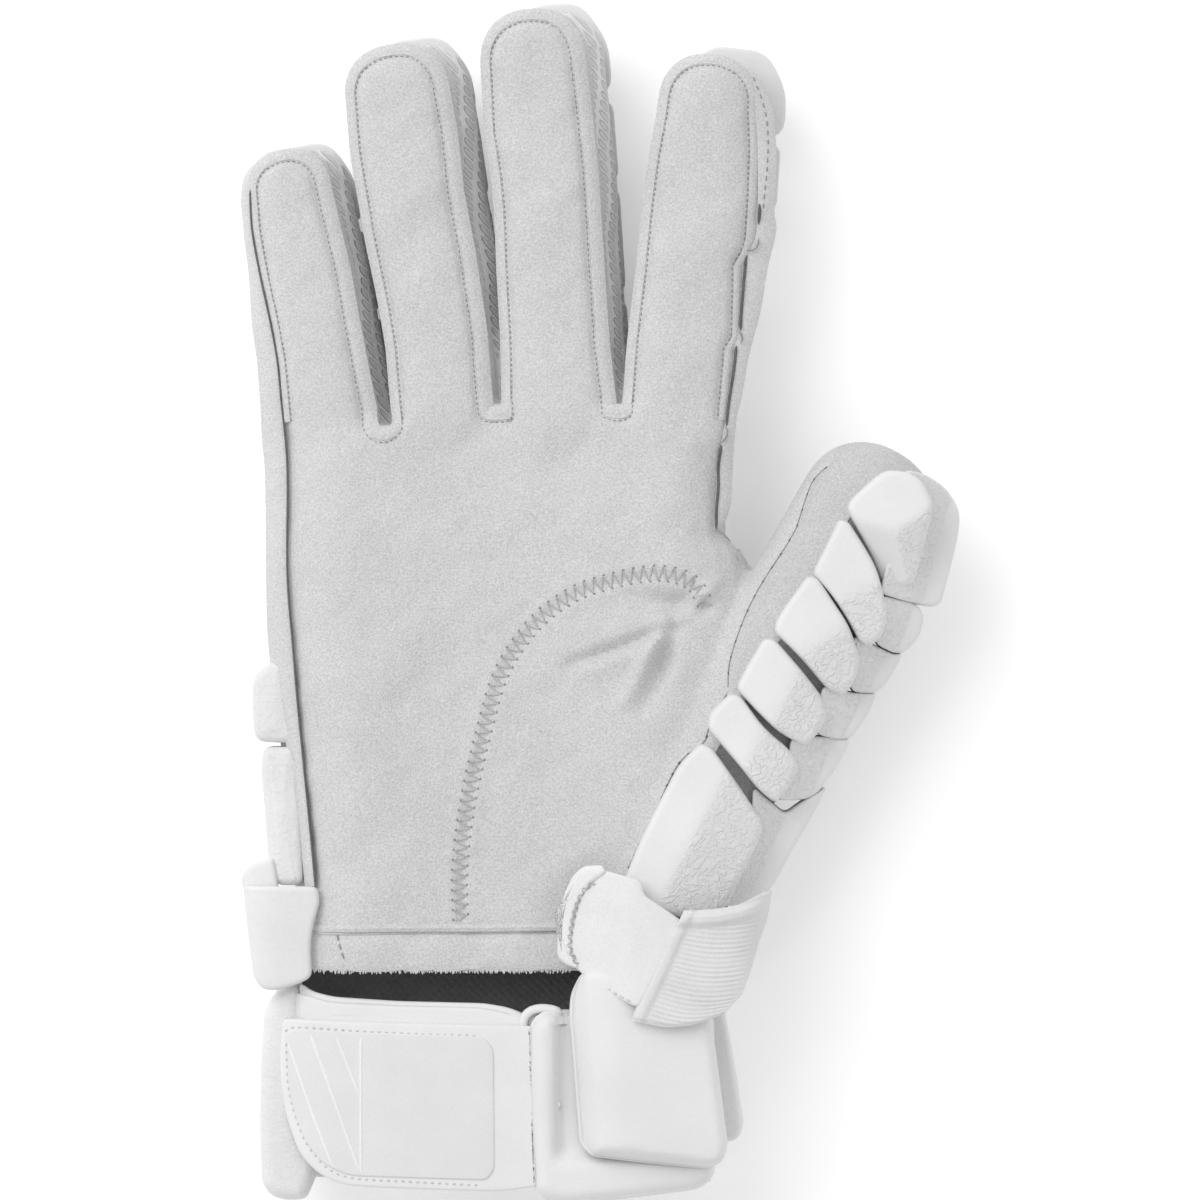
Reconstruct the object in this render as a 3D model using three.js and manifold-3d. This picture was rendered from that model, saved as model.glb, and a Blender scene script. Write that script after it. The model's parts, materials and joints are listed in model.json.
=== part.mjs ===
// A padded lacrosse glove lying on its back, palm up: +X towards the thumb, +Y towards the fingertips,
// +Z out of the palm. Millimetres. The origin of the finished part is the middle of its footprint.
import * as THREE from "three";
import { mergeVertices } from "three/addons/utils/BufferGeometryUtils.js";
import Module from "manifold-3d";

const wasm = await Module();
wasm.setup();

// Clearance between neighbouring pieces, and the walls of the soft shell
const GAP = 0.3;
const WALL = 1.6;
const LINING = 2;

// The hand: the shell between its back liner and its suede front
const PALM_LENGTH = 150;
const CROTCH_RISE = 6;
const FINGER_SPACING = 1.8;
const SIDE_DEPTH = 19;
const PALM_CROWN = 9;
const FINGER_CROWN = 7;
const PINKY_FLARE = 5.8;
const PINKY_TIP_FLARE = 2.4;
const INDEX_FLARE = 2;
const FINGER_CURL = 9;
const FINGER_OVERLAP = 24;
const HEM_HEIGHT = 11;
const HEM_FOLD = 0.8;
const LINER_TURN = 4;

// Pads on the back
const HAND_PAD_DEPTH = 14;
const FINGER_PAD_DEPTH = 11;
const FINGER_PAD_DROP = 0.7;
const PAD_SEAM = 2.4;
const PAD_BEVEL = 4;
const INDEX_PAD_LEDGE = 5.2;
const BACK_PAD_MARGIN = 1.5;

// Thumb: a tube that leans out of the palm
const THUMB_ACROSS = 38.3;
const THUMB_UP = 19.6;
const THUMB_LENGTH = 141.7;
const THUMB_LEAN = 29.7;
const THUMB_HALF_WIDTH = 18.8;
const THUMB_ROOT_HALF_WIDTH = 16;
const THUMB_HALF_DEPTH = 14.5;
const THUMB_ROOT_HEIGHT = 29.5;
const THUMB_TIP_RISE = 3.5;
const THUMB_TIP_ROUND = 18;
const THUMB_SEAM_DROP = 8;
const BINDING_OUTER = 14.6;
const BINDING_INNER = 6;
const BINDING_LENGTH = 80;
const BINDING_TIP = 6.5;
const THUMB_PAD_DEPTH = 8.5;
const THUMB_PAD_WIDTH = 24;
const THUMB_OUTER_PAD_DEPTH = 9.6;

// Cuff: a short tube round the wrist with pads, strap and patch wrapped on it
const CUFF_CENTRE = -0.4;
const CUFF_WIDTH = 115;
const CUFF_DEPTH = 30;
const CUFF_LENGTH = 51;
const WRIST_GAP = 12;
const CUFF_BACK_PAD_DEPTH = 12;
const CUFF_SIDE_PAD_DEPTH = 8;
const CUFF_INNER_PAD_DEPTH = 5.4;
const CUFF_OUTER_PAD_DEPTH = 8;
const LINING_INSET = 5;
const SIDE_PAD_INSET = 15;
const STRAP_RIGHT = 8.4;
const STRAP_DROP = 1.2;
const STRAP_THICKNESS = 2.4;
const STRAP_WIDTH = 44.5;
const PATCH_THICKNESS = 1.4;
const TAB_THICKNESS = 2.2;

// Shares of the cuff's depth, up or down from its middle, where pieces of the front and sides begin
const OPENING_RISE = 0.28;
const FRONT_RISE = 0.3;
const SIDE_PAD_FALL = 0.36;
// How far from the cuff's middle the side pads start, as a share of its width
const SIDE_PAD_START = 0.4;
// How far the left pad reaches up into the wrist's gap, as a share of it
const SIDE_PAD_REACH = 0.55;

// One row a finger, from the little finger to the index finger. Widths are of the suede front, gusset
// is how far the knit side leans out under it.
const FINGERS = [
  { name: "pinky", length: 77, rootWidth: 27, midWidth: 25.4, tipWidth: 23.4, lean: 9.3, gusset: 5.4 },
  { name: "ring", length: 105.4, rootWidth: 29, midWidth: 30.2, tipWidth: 28.4, lean: 7.1, gusset: 6.6 },
  { name: "middle", length: 114.5, rootWidth: 32, midWidth: 30.6, tipWidth: 30.4, lean: 3.4, gusset: 5.5 },
  {
    name: "index", length: 102.5, rootWidth: 28.5, midWidth: 32.2, tipWidth: 28.6, lean: -6.2,
    gusset: INDEX_FLARE,
  },
];

const LINER_Z = HAND_PAD_DEPTH + GAP;
const SEAM_Z = LINER_Z + SIDE_DEPTH;
const FAR = 400;
const KNUCKLE_HALF =
  (FINGERS.reduce((sum, f) => sum + f.rootWidth, 0) + FINGER_SPACING * (FINGERS.length - 1)) / 2;
const MIDDLE_FINGER = FINGERS[2];

const radians = THREE.MathUtils.degToRad;
const lerp = THREE.MathUtils.lerp;
const clamp = THREE.MathUtils.clamp;

const suede = new THREE.MeshStandardMaterial({ color: 0xcfcfcf, roughness: 0.95, metalness: 0 });
const binding = new THREE.MeshStandardMaterial({ color: 0xc4c4c4, roughness: 0.95, metalness: 0 });
const knit = new THREE.MeshStandardMaterial({ color: 0xb8b8b8, roughness: 0.95, metalness: 0 });
const lining = new THREE.MeshStandardMaterial({ color: 0x474747, roughness: 0.9, metalness: 0 });
const padding = new THREE.MeshStandardMaterial({ color: 0xeeeeee, roughness: 0.6, metalness: 0 });
const webbing = new THREE.MeshStandardMaterial({ color: 0xe6e6e6, roughness: 0.85, metalness: 0 });

// A closed solid through rings of equal count, with a fan over each end ring.
function loft(rings) {
  const count = rings[0].length;
  const points = rings.flat();
  const triangles = [];
  for (let r = 0; r + 1 < rings.length; r++)
    for (let i = 0; i < count; i++) {
      const a = r * count + i;
      const b = r * count + ((i + 1) % count);
      triangles.push(a, b, b + count, a, b + count, a + count);
    }
  for (const [start, turned] of [[0, true], [(rings.length - 1) * count, false]]) {
    const centre = new THREE.Vector3();
    for (let i = 0; i < count; i++) centre.addScaledVector(points[start + i], 1 / count);
    points.push(centre);
    const hub = points.length - 1;
    for (let i = 0; i < count; i++) {
      const a = start + i;
      const b = start + ((i + 1) % count);
      triangles.push(...(turned ? [hub, b, a] : [hub, a, b]));
    }
  }
  return outward(new THREE.BufferGeometry().setFromPoints(points).setIndex(triangles));
}

// Turns a closed geometry's faces round where they point inwards.
function outward(geometry) {
  const at = geometry.attributes.position;
  const index = geometry.index.array;
  const [a, b, c] = [new THREE.Vector3(), new THREE.Vector3(), new THREE.Vector3()];
  let volume = 0;
  for (let i = 0; i < index.length; i += 3) {
    a.fromBufferAttribute(at, index[i]);
    b.fromBufferAttribute(at, index[i + 1]);
    c.fromBufferAttribute(at, index[i + 2]);
    volume += a.dot(b.cross(c));
  }
  if (volume < 0) {
    for (let i = 0; i < index.length; i += 3) [index[i], index[i + 1]] = [index[i + 1], index[i]];
  }
  return geometry;
}

function solid(geometry) {
  geometry.deleteAttribute("normal");
  geometry.deleteAttribute("uv");
  const merged = mergeVertices(geometry, 1e-4);
  return new wasm.Manifold(
    new wasm.Mesh({
      numProp: 3,
      vertProperties: merged.attributes.position.array,
      triVerts: new Uint32Array(merged.index.array),
    }),
  );
}

const body = (rings) => solid(loft(rings));

// An upright prism over a plan outline.
function prism(outline, low, high) {
  const shape = new THREE.Shape(outline.map(([x, y]) => new THREE.Vector2(x, y)));
  const geometry = new THREE.ExtrudeGeometry(shape, { depth: high - low, bevelEnabled: false });
  return solid(geometry.translate(0, 0, low));
}

const block = (x0, x1, y0, y1, z0, z1) => prism([[x0, y0], [x1, y0], [x1, y1], [x0, y1]], z0, z1);

// A thin upright wall along a plan line.
function ribbon(line, width, low, high) {
  const sides = line.map(([x, y], i) => {
    const before = line[Math.max(i - 1, 0)];
    const after = line[Math.min(i + 1, line.length - 1)];
    const along = new THREE.Vector2(after[0] - before[0], after[1] - before[1]).normalize();
    return [-along.y * width * 0.5, along.x * width * 0.5, x, y];
  });
  const left = sides.map(([nx, ny, x, y]) => [x + nx, y + ny]);
  const right = sides.map(([nx, ny, x, y]) => [x - nx, y - ny]).reverse();
  return prism([...left, ...right], low, high);
}

const glove = new THREE.Group();

function add(name, shape, material) {
  const made = shape.getMesh();
  const geometry = new THREE.BufferGeometry();
  geometry.setAttribute("position", new THREE.BufferAttribute(new Float32Array(made.vertProperties), 3));
  geometry.setIndex(new THREE.BufferAttribute(new Uint32Array(made.triVerts), 1));
  const mesh = new THREE.Mesh(geometry, material);
  mesh.name = name;
  glove.add(mesh);
}

// The largest body of a shape, without slivers that a cut leaves.
const largest = (shape) => shape.decompose().reduce((a, b) => (b.volume() > a.volume() ? b : a));

// How far the curled fingers rise above the back of the hand.
function lift(y) {
  const beyond = clamp((y - PALM_LENGTH) / MIDDLE_FINGER.length, 0, 2);
  return FINGER_CURL * beyond * beyond;
}

// One row a point of the right half of a section: across as a share of the half width, rise as a share
// of the crown above the seam or of the side below it, lean as a share of the side's flare.
const PALM_SECTION = [
  { across: 0, rise: 0.62, lean: 0 },
  { across: 0.3, rise: 0.72, lean: 0 },
  { across: 0.58, rise: 0.95, lean: 0 },
  { across: 0.8, rise: 0.93, lean: 0 },
  { across: 0.93, rise: 0.6, lean: 0 },
  { across: 1, rise: 0.06, lean: 0 },
  { across: 1, rise: -0.3, lean: 1 },
  { across: 0.98, rise: -0.8, lean: 1 },
  { across: 0.92, rise: -1, lean: 1 },
];
const FINGER_SECTION = [
  { across: 0, rise: 1, lean: 0 },
  { across: 0.45, rise: 0.92, lean: 0 },
  { across: 0.82, rise: 0.58, lean: 0 },
  { across: 1, rise: 0.06, lean: 0 },
  { across: 1, rise: -0.35, lean: 1 },
  { across: 0.96, rise: -0.8, lean: 1 },
  { across: 0.76, rise: -1, lean: 1 },
];

// The whole ring of a half section, in (across, height over the seam), shrunk by inset.
function sectionRing(rows, left, right, leftLean, rightLean, crown, inset) {
  const point = (row, side) => {
    const half = (side > 0 ? right : left) - inset;
    const height = row.rise > 0 ? row.rise * (crown - inset) : row.rise * (SIDE_DEPTH - inset);
    const lean = side > 0 ? rightLean : leftLean;
    return [side * (row.across * half + row.lean * lean), height];
  };
  const rightSide = rows.map((row) => point(row, 1));
  const leftSide = rows.slice(1).map((row) => point(row, -1)).reverse();
  return [...rightSide, ...leftSide];
}

// One row a section of the palm from the hem up: up as a share of the palm's length, left and right as
// shares of half the knuckles' width, crown as a share of the palm's.
const PALM_STATIONS = [
  { up: 0, left: 0.87, right: 0.95, crown: 1 },
  { up: 0.13, left: 0.855, right: 0.99, crown: 1 },
  { up: 0.31, left: 0.9, right: 1.04, crown: 1 },
  { up: 0.49, left: 0.946, right: 1.08, crown: 1 },
  { up: 0.68, left: 0.978, right: 1.1, crown: 1 },
  { up: 0.765, left: 0.98, right: 1.06, crown: 0.97 },
  { up: 0.8, left: 0.98, right: 0.975, crown: 0.95 },
  { up: 0.91, left: 0.98, right: 0.965, crown: 0.85 },
  { up: 1, left: 1, right: 1, crown: 0.74 },
];

function palmBody(inset) {
  const last = PALM_STATIONS.length - 1;
  return body(
    PALM_STATIONS.map(({ up, left, right, crown }, i) => {
      const past = i === 0 ? -Math.max(inset, 0) * 4 : i === last ? -inset : 0;
      const ring = sectionRing(
        PALM_SECTION, left * KNUCKLE_HALF, right * KNUCKLE_HALF,
        PINKY_FLARE, INDEX_FLARE, crown * PALM_CROWN, inset,
      );
      return ring.map(([x, height]) => {
        const step = i === last ? CROTCH_RISE * clamp((x + KNUCKLE_HALF / 2) / (KNUCKLE_HALF / 2), 0, 1) : 0;
        return new THREE.Vector3(x, up * PALM_LENGTH + past + step, SEAM_Z + height);
      });
    }),
  );
}

// Where each finger's middle line meets the crotch line, from the left edge of the knuckles.
let rootEdge = -KNUCKLE_HALF;
for (const [i, finger] of FINGERS.entries()) {
  finger.rootX = rootEdge + finger.rootWidth / 2;
  rootEdge += finger.rootWidth + FINGER_SPACING;
  finger.leftLean = i === 0 ? PINKY_FLARE : -FINGERS[i - 1].gusset;
  finger.tipLeftLean = i === 0 ? PINKY_TIP_FLARE : finger.leftLean;
}

// A point of the hand from a finger's own lines: s along it from its root, u across it to the right.
function onFinger(finger, s, u) {
  const turn = radians(finger.lean);
  return [
    finger.rootX - s * Math.sin(turn) + u * Math.cos(turn),
    PALM_LENGTH + s * Math.cos(turn) + u * Math.sin(turn),
  ];
}

const leftLeanAt = (finger, s) => lerp(finger.leftLean, finger.tipLeftLean, clamp(s / finger.length, 0, 1));

const TIP_STEPS = [0, 0.06, 0.22, 0.5, 1];

function fingerBody(finger, inset) {
  const round = finger.tipWidth * 0.5;
  const stations = [
    { s: -FINGER_OVERLAP, width: finger.rootWidth, keep: 1 },
    { s: 0, width: finger.rootWidth, keep: 1 },
    { s: finger.length * 0.3, width: lerp(finger.rootWidth, finger.midWidth, 0.8), keep: 1 },
    { s: finger.length * 0.55, width: finger.midWidth, keep: 1 },
  ];
  for (const step of [...TIP_STEPS].reverse())
    stations.push({
      s: finger.length - inset - step * round,
      width: finger.tipWidth * Math.pow(1 - Math.pow(1 - step, 2.3), 1 / 2.3),
      keep: 0.45 + 0.5 * Math.sqrt(1 - (1 - step) * (1 - step)),
      end: step === 0,
    });
  return body(
    stations.map(({ s, width, keep, end }) => {
      const half = Math.max(end ? finger.tipWidth * 0.17 : width / 2, inset + 2);
      const ring = sectionRing(
        FINGER_SECTION, half, half, leftLeanAt(finger, s), finger.gusset, FINGER_CROWN, inset,
      );
      return ring.map(([u, height]) => {
        const [x, y] = onFinger(finger, s, u);
        return new THREE.Vector3(x, y, SEAM_Z + lift(y) + height * keep);
      });
    }),
  );
}

// A point of the plan from the thumb's own lines: v along it from its tip, u across it outwards.
function onThumb(u, v) {
  const turn = radians(THUMB_LEAN);
  const s = THUMB_LENGTH - v;
  return [
    THUMB_ACROSS + s * Math.sin(turn) + u * Math.cos(turn),
    THUMB_UP + s * Math.cos(turn) - u * Math.sin(turn),
  ];
}

const thumbHeight = (v) => THUMB_ROOT_HEIGHT + THUMB_TIP_RISE * (1 - v / THUMB_LENGTH);
const THUMB_SIDES = 18;
const ROUNDNESS = 2.5;

const power = (value, exponent) => Math.sign(value) * Math.pow(Math.abs(value), exponent);

// A rounded oblong ring round the origin.
function oblong(halfWidth, halfHeight, sides, roundness) {
  return Array.from({ length: sides }, (unused, i) => {
    const angle = (2 * Math.PI * (i + 0.5)) / sides;
    return [
      halfWidth * power(Math.cos(angle), 2 / roundness),
      halfHeight * power(Math.sin(angle), 2 / roundness),
    ];
  });
}

function thumbBody(inset) {
  const stations = TIP_STEPS.map((step) => ({
    v: inset + step * THUMB_TIP_ROUND,
    half: THUMB_HALF_WIDTH * Math.max(0.32, Math.pow(1 - Math.pow(1 - step, 2.2), 1 / 2.2)),
    keep: 0.4 + 0.6 * Math.sqrt(1 - (1 - step) * (1 - step)),
  }));
  stations.push({ v: THUMB_LENGTH * 0.45, half: THUMB_HALF_WIDTH, keep: 1 });
  stations.push({ v: THUMB_LENGTH * 0.72, half: THUMB_HALF_WIDTH, keep: 1 });
  stations.push({ v: THUMB_LENGTH - inset, half: THUMB_ROOT_HALF_WIDTH, keep: 0.95 });
  return body(
    stations.map(({ v, half, keep }) =>
      oblong(half - inset, (THUMB_HALF_DEPTH - inset) * keep, THUMB_SIDES, ROUNDNESS).map(([u, height]) => {
        const [x, y] = onThumb(u, v);
        return new THREE.Vector3(x, y, thumbHeight(v) + height);
      }),
    ),
  );
}

const handBody = (inset) => FINGERS.reduce((sum, f) => sum.add(fingerBody(f, inset)), palmBody(inset));
const gloveBody = (inset) => handBody(inset).add(thumbBody(inset));

const shell = gloveBody(0).subtract(gloveBody(WALL));
const grown = gloveBody(-GAP);

// Everything above a height over the back liner that follows the curl of the fingers.
function above(height) {
  const steps = [-PALM_LENGTH, PALM_LENGTH];
  for (let i = 1; i <= 5; i++) steps.push(PALM_LENGTH + (i / 4) * MIDDLE_FINGER.length);
  return body(
    steps.map((y) => {
      const low = LINER_Z + height + lift(y);
      return [[-FAR, low], [FAR, low], [FAR, FAR], [-FAR, FAR]].map(([x, z]) => new THREE.Vector3(x, y, z));
    }),
  );
}

// The plan round the thumb, from the web between thumb and index finger to the wrist.
const WEB = [1.075 * KNUCKLE_HALF, 0.792 * PALM_LENGTH];
const WRIST_SPLIT = [0.68 * KNUCKLE_HALF, -GAP];
const thumbSide = (grow) => [
  [WEB[0] - grow, WEB[1] + grow],
  [WRIST_SPLIT[0] - grow, WRIST_SPLIT[1]],
  [FAR, WRIST_SPLIT[1]],
  [FAR, WEB[1] + THUMB_LENGTH / 3],
  [WEB[0] + THUMB_HALF_WIDTH - grow, WEB[1] + THUMB_LENGTH / 3],
];

const onThumbOutline = (rows) => rows.map(([u, v]) => onThumb(u, v));
const padBed = (grow) =>
  prism(
    onThumbOutline([
      [-BINDING_INNER + grow, BINDING_TIP + grow],
      [FAR, BINDING_TIP + grow],
      [FAR, THUMB_LENGTH + PALM_LENGTH],
      [-BINDING_INNER + grow, THUMB_LENGTH + PALM_LENGTH],
    ]),
    -FAR,
    FAR,
  );

function frontZone(drop) {
  const overThumb = prism(thumbSide(0), SEAM_Z - THUMB_SEAM_DROP - drop, FAR);
  return above(SIDE_DEPTH - drop).add(overThumb).subtract(padBed(drop));
}

const front = shell.intersect(frontZone(0));
const rear = shell.subtract(frontZone(GAP));

// Suede front: hem, palm with the finger fronts, thumb and its binding strip
const hemZone = (grow) => block(-FAR, FAR, -FAR, HEM_HEIGHT + grow, -FAR, FAR);

// The zigzag seam, as shares of half the knuckles' width and of the palm's length, from the hem up to
// the web of the thumb
const ZIGZAG = [
  [-0.19, 0.05],
  [-0.2, 0.185],
  [-0.163, 0.31],
  [-0.086, 0.448],
  [-0.005, 0.553],
  [0.14, 0.638],
  [0.321, 0.693],
  [0.525, 0.72],
  [0.706, 0.73],
  [0.842, 0.715],
  [0.942, 0.741],
  [1.014, 0.774],
  [1.09, 0.82],
  [1.19, 0.92],
];
const zigzag = ribbon(
  ZIGZAG.map(([across, up]) => [across * KNUCKLE_HALF, up * PALM_LENGTH]),
  GAP,
  -FAR,
  FAR,
);
const suedeBodies = front
  .subtract(hemZone(GAP))
  .subtract(zigzag)
  .decompose()
  .sort((a, b) => b.volume() - a.volume());
add("palm_panel", suedeBodies[0], suede);

const bindingZone = (grow) =>
  prism(
    onThumbOutline([
      [-BINDING_OUTER - grow, -FAR],
      [FAR, -FAR],
      [FAR, BINDING_TIP + grow],
      [-BINDING_INNER + grow, BINDING_TIP + grow],
      [-BINDING_INNER + grow, BINDING_LENGTH + grow],
      [-BINDING_OUTER - grow, BINDING_LENGTH + grow],
    ]),
    SEAM_Z - THUMB_SEAM_DROP - FAR,
    FAR,
  );
add("thumb_panel", largest(suedeBodies[1].subtract(bindingZone(GAP))), suede);
add("thumb_binding", largest(suedeBodies[1].intersect(bindingZone(0))), binding);

const hemBand = gloveBody(-HEM_FOLD).subtract(gloveBody(WALL)).intersect(frontZone(0)).intersect(hemZone(0));
add("palm_hem", largest(hemBand.intersect(block(-FAR, FAR, 0, FAR, -FAR, FAR))), suede);

// Back liner, thumb liner and the walls between them and the front
const thumbRear = rear.intersect(prism(thumbSide(0), -FAR, FAR));
const handRear = rear.subtract(prism(thumbSide(GAP), -FAR, FAR));
add("thumb_liner", largest(thumbRear), lining);
add("back_liner", largest(handRear.subtract(above(LINER_TURN))), lining);

// Each wall runs from one fingertip round the crotch to the next: they part at the tips.
let walls = handRear.intersect(above(LINER_TURN + GAP));
for (const finger of FINGERS) {
  const middle = (finger.gusset - finger.tipLeftLean) / 2;
  const line = [finger.length * 0.8, finger.length * 1.2].map((s) => onFinger(finger, s, middle));
  walls = walls.subtract(ribbon(line, GAP, -FAR, FAR));
}
const WALL_NAMES = [
  ["pinky_side_panel", suede],
  ["gusset_pinky_ring", knit],
  ["gusset_ring_middle", knit],
  ["gusset_middle_index", knit],
  ["index_side_panel", suede],
];
const middleX = (shape) => {
  const box = shape.boundingBox();
  return (box.min[0] + box.max[0]) / 2;
};
walls
  .decompose()
  .sort((a, b) => b.volume() - a.volume())
  .slice(0, WALL_NAMES.length)
  .sort((a, b) => middleX(a) - middleX(b))
  .forEach((wall, i) => add(WALL_NAMES[i][0], wall, WALL_NAMES[i][1]));

// A convex outline with each edge moved inwards.
function shrink(outline, by) {
  const area = THREE.ShapeUtils.area(outline.map(([x, y]) => new THREE.Vector2(x, y)));
  const side = Math.sign(area);
  return outline.map((at, i) => {
    const before = outline[(i + outline.length - 1) % outline.length];
    const after = outline[(i + 1) % outline.length];
    const a = new THREE.Vector2(at[0] - before[0], at[1] - before[1]).normalize();
    const b = new THREE.Vector2(after[0] - at[0], after[1] - at[1]).normalize();
    const turn = new THREE.Vector2(-a.y - b.y, a.x + b.x).multiplyScalar(side);
    const reach = by / Math.max(0.4, turn.length() / 2);
    turn.normalize();
    return [at[0] + turn.x * reach, at[1] + turn.y * reach];
  });
}

// An outline with each corner cut off.
function cutCorners(outline, cut) {
  return outline.flatMap((at, i) => {
    const before = outline[(i + outline.length - 1) % outline.length];
    const after = outline[(i + 1) % outline.length];
    return [before, after].map((to) => {
      const reach = Math.hypot(to[0] - at[0], to[1] - at[1]);
      const share = Math.min(cut / reach, 0.4);
      return [lerp(at[0], to[0], share), lerp(at[1], to[1], share)];
    });
  });
}

// A foam pad under a surface: its top is cut by what it lies on, its underside has bevelled edges.
function backPad(outline, floorOf, top, bevel) {
  const rings = [
    { plan: outline, z: () => top },
    { plan: outline, z: (x, y) => floorOf(x, y) + bevel },
    { plan: shrink(outline, bevel * 0.3), z: (x, y) => floorOf(x, y) + bevel * 0.45 },
    { plan: shrink(outline, bevel), z: (x, y) => floorOf(x, y) },
  ];
  return body(rings.map(({ plan, z }) => plan.map(([x, y]) => new THREE.Vector3(x, y, z(x, y)))));
}

// Pads on the back of each finger. Ends are shares of the finger's length, from the tip down.
const FINGER_PAD_ENDS = {
  pinky: [-0.02, 0.3, 0.62, 1],
  ring: [-0.02, 0.21, 0.42, 0.69, 1],
  middle: [-0.02, 0.21, 0.42, 0.69, 1],
  index: [-0.035, 0.2, 0.4, 0.68, 1],
};
const TIP_PAD_NARROWING = 0.23;

for (const finger of FINGERS) {
  const ends = FINGER_PAD_ENDS[finger.name];
  const ledge = finger.name === "index" ? INDEX_PAD_LEDGE : 0;
  const sideAt = (share, side) => {
    const width = lerp(finger.tipWidth, Math.max(finger.midWidth, finger.rootWidth), clamp(share * 2, 0, 1));
    const left = leftLeanAt(finger, finger.length * (1 - share));
    return side > 0 ? width / 2 + finger.gusset - GAP + ledge : -width / 2 - left + GAP;
  };
  for (let k = 0; k + 1 < ends.length; k++) {
    const near = ends[k];
    const far = ends[k + 1];
    const s0 = finger.length * (1 - near) - (k === 0 ? 0 : PAD_SEAM / 2);
    const s1 = finger.length * (1 - far) + PAD_SEAM / 2;
    const narrow = k === 0 ? TIP_PAD_NARROWING * finger.tipWidth : 0;
    const waist = (s0 - s1) * 0.45;
    const outline =
      k === 0
        ? [
            onFinger(finger, s1, sideAt(far, -1)),
            onFinger(finger, s1, sideAt(far, 1)),
            onFinger(finger, s0 - waist, sideAt(near, 1)),
            onFinger(finger, s0, sideAt(near, 1) - narrow),
            onFinger(finger, s0, sideAt(near, -1) + narrow),
            onFinger(finger, s0 - waist, sideAt(near, -1)),
          ]
        : [
            onFinger(finger, s1, sideAt(far, -1)),
            onFinger(finger, s1, sideAt(far, 1)),
            onFinger(finger, s0, sideAt(near, 1)),
            onFinger(finger, s0, sideAt(near, -1)),
          ];
    const under = (x, y) => LINER_Z - FINGER_PAD_DEPTH + lift(y);
    const padTop = SEAM_Z + FINGER_CURL - SIDE_DEPTH * FINGER_PAD_DROP;
    const shape = backPad(cutCorners(outline, PAD_BEVEL / 2), under, padTop, PAD_BEVEL);
    const clear = shape.subtract(grown).subtract(above(LINER_TURN * 1.5));
    add(`${finger.name}_pad_${k + 1}`, largest(clear), padding);
  }
}

// Pads on the back of the hand: two rows of three. Rows are shares of the palm's length.
const HAND_PAD_ROWS = [
  { low: 0.06, high: 0.5 },
  { low: 0.5, high: 0.985 },
];
const HAND_PAD_COLUMNS = [-1, -0.34, 0.34, 1];
HAND_PAD_ROWS.forEach(({ low, high }, row) => {
  for (let column = 0; column + 1 < HAND_PAD_COLUMNS.length; column++) {
    const edge = (share, up) => {
      const below = PALM_STATIONS.filter((station) => station.up <= up).at(-1);
      const over = PALM_STATIONS.find((station) => station.up > up) ?? below;
      const t = over === below ? 0 : (up - below.up) / (over.up - below.up);
      const half =
        share < 0 ? lerp(below.left, over.left, t) : Math.min(1, lerp(below.right, over.right, t));
      const flare = share < 0 ? PINKY_FLARE : INDEX_FLARE;
      return share * (half * KNUCKLE_HALF + flare - BACK_PAD_MARGIN);
    };
    const [left, right] = [HAND_PAD_COLUMNS[column], HAND_PAD_COLUMNS[column + 1]];
    const seamLeft = left === -1 ? 0 : PAD_SEAM / 2;
    const seamRight = right === 1 ? 0 : PAD_SEAM / 2;
    const y0 = low * PALM_LENGTH + PAD_SEAM / 2;
    const y1 = high * PALM_LENGTH - PAD_SEAM / 2;
    const outline = [
      [edge(left, low) + seamLeft, y0],
      [edge(right, low) - seamRight, y0],
      [edge(right, high) - seamRight, y1],
      [edge(left, high) + seamLeft, y1],
    ];
    const shape = backPad(cutCorners(outline, PAD_BEVEL), () => 0, LINER_Z + LINER_TURN, PAD_BEVEL);
    add(`hand_pad_${row + 1}_${column + 1}`, largest(shape.subtract(grown)), padding);
  }
});

// Two pads on the outer side of the little finger's edge of the hand. Outlines are shares of half the
// knuckles' width and of the palm's length.
const PINKY_SIDE_PADS = [
  {
    top: 0.94,
    outline: [
      [-1.063, 0.562], [-1.14, 0.544], [-1.145, 0.474], [-1.122, 0.419], [-0.95, 0.419], [-1, 0.5],
    ],
  },
  {
    top: 1.04,
    outline: [
      [-1.095, 0.412], [-1.104, 0.375], [-1.063, 0.186], [-1.027, 0.162], [-0.9, 0.16], [-0.94, 0.412],
    ],
  },
];
PINKY_SIDE_PADS.forEach(({ outline, top }, i) => {
  const plan = outline.map(([across, up]) => [across * KNUCKLE_HALF, up * PALM_LENGTH]);
  const low = LINER_Z + LINER_TURN + GAP;
  const high = LINER_Z + SIDE_DEPTH * top;
  const rings = [
    { ring: plan, z: low },
    { ring: plan, z: high - PAD_BEVEL * 0.7 },
    { ring: shrink(plan, PAD_BEVEL * 0.5), z: high },
  ];
  const shape = body(rings.map(({ ring, z }) => ring.map(([x, y]) => new THREE.Vector3(x, y, z))));
  add(`pinky_side_pad_${i + 1}`, largest(shape.subtract(grown)), padding);
});

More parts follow.
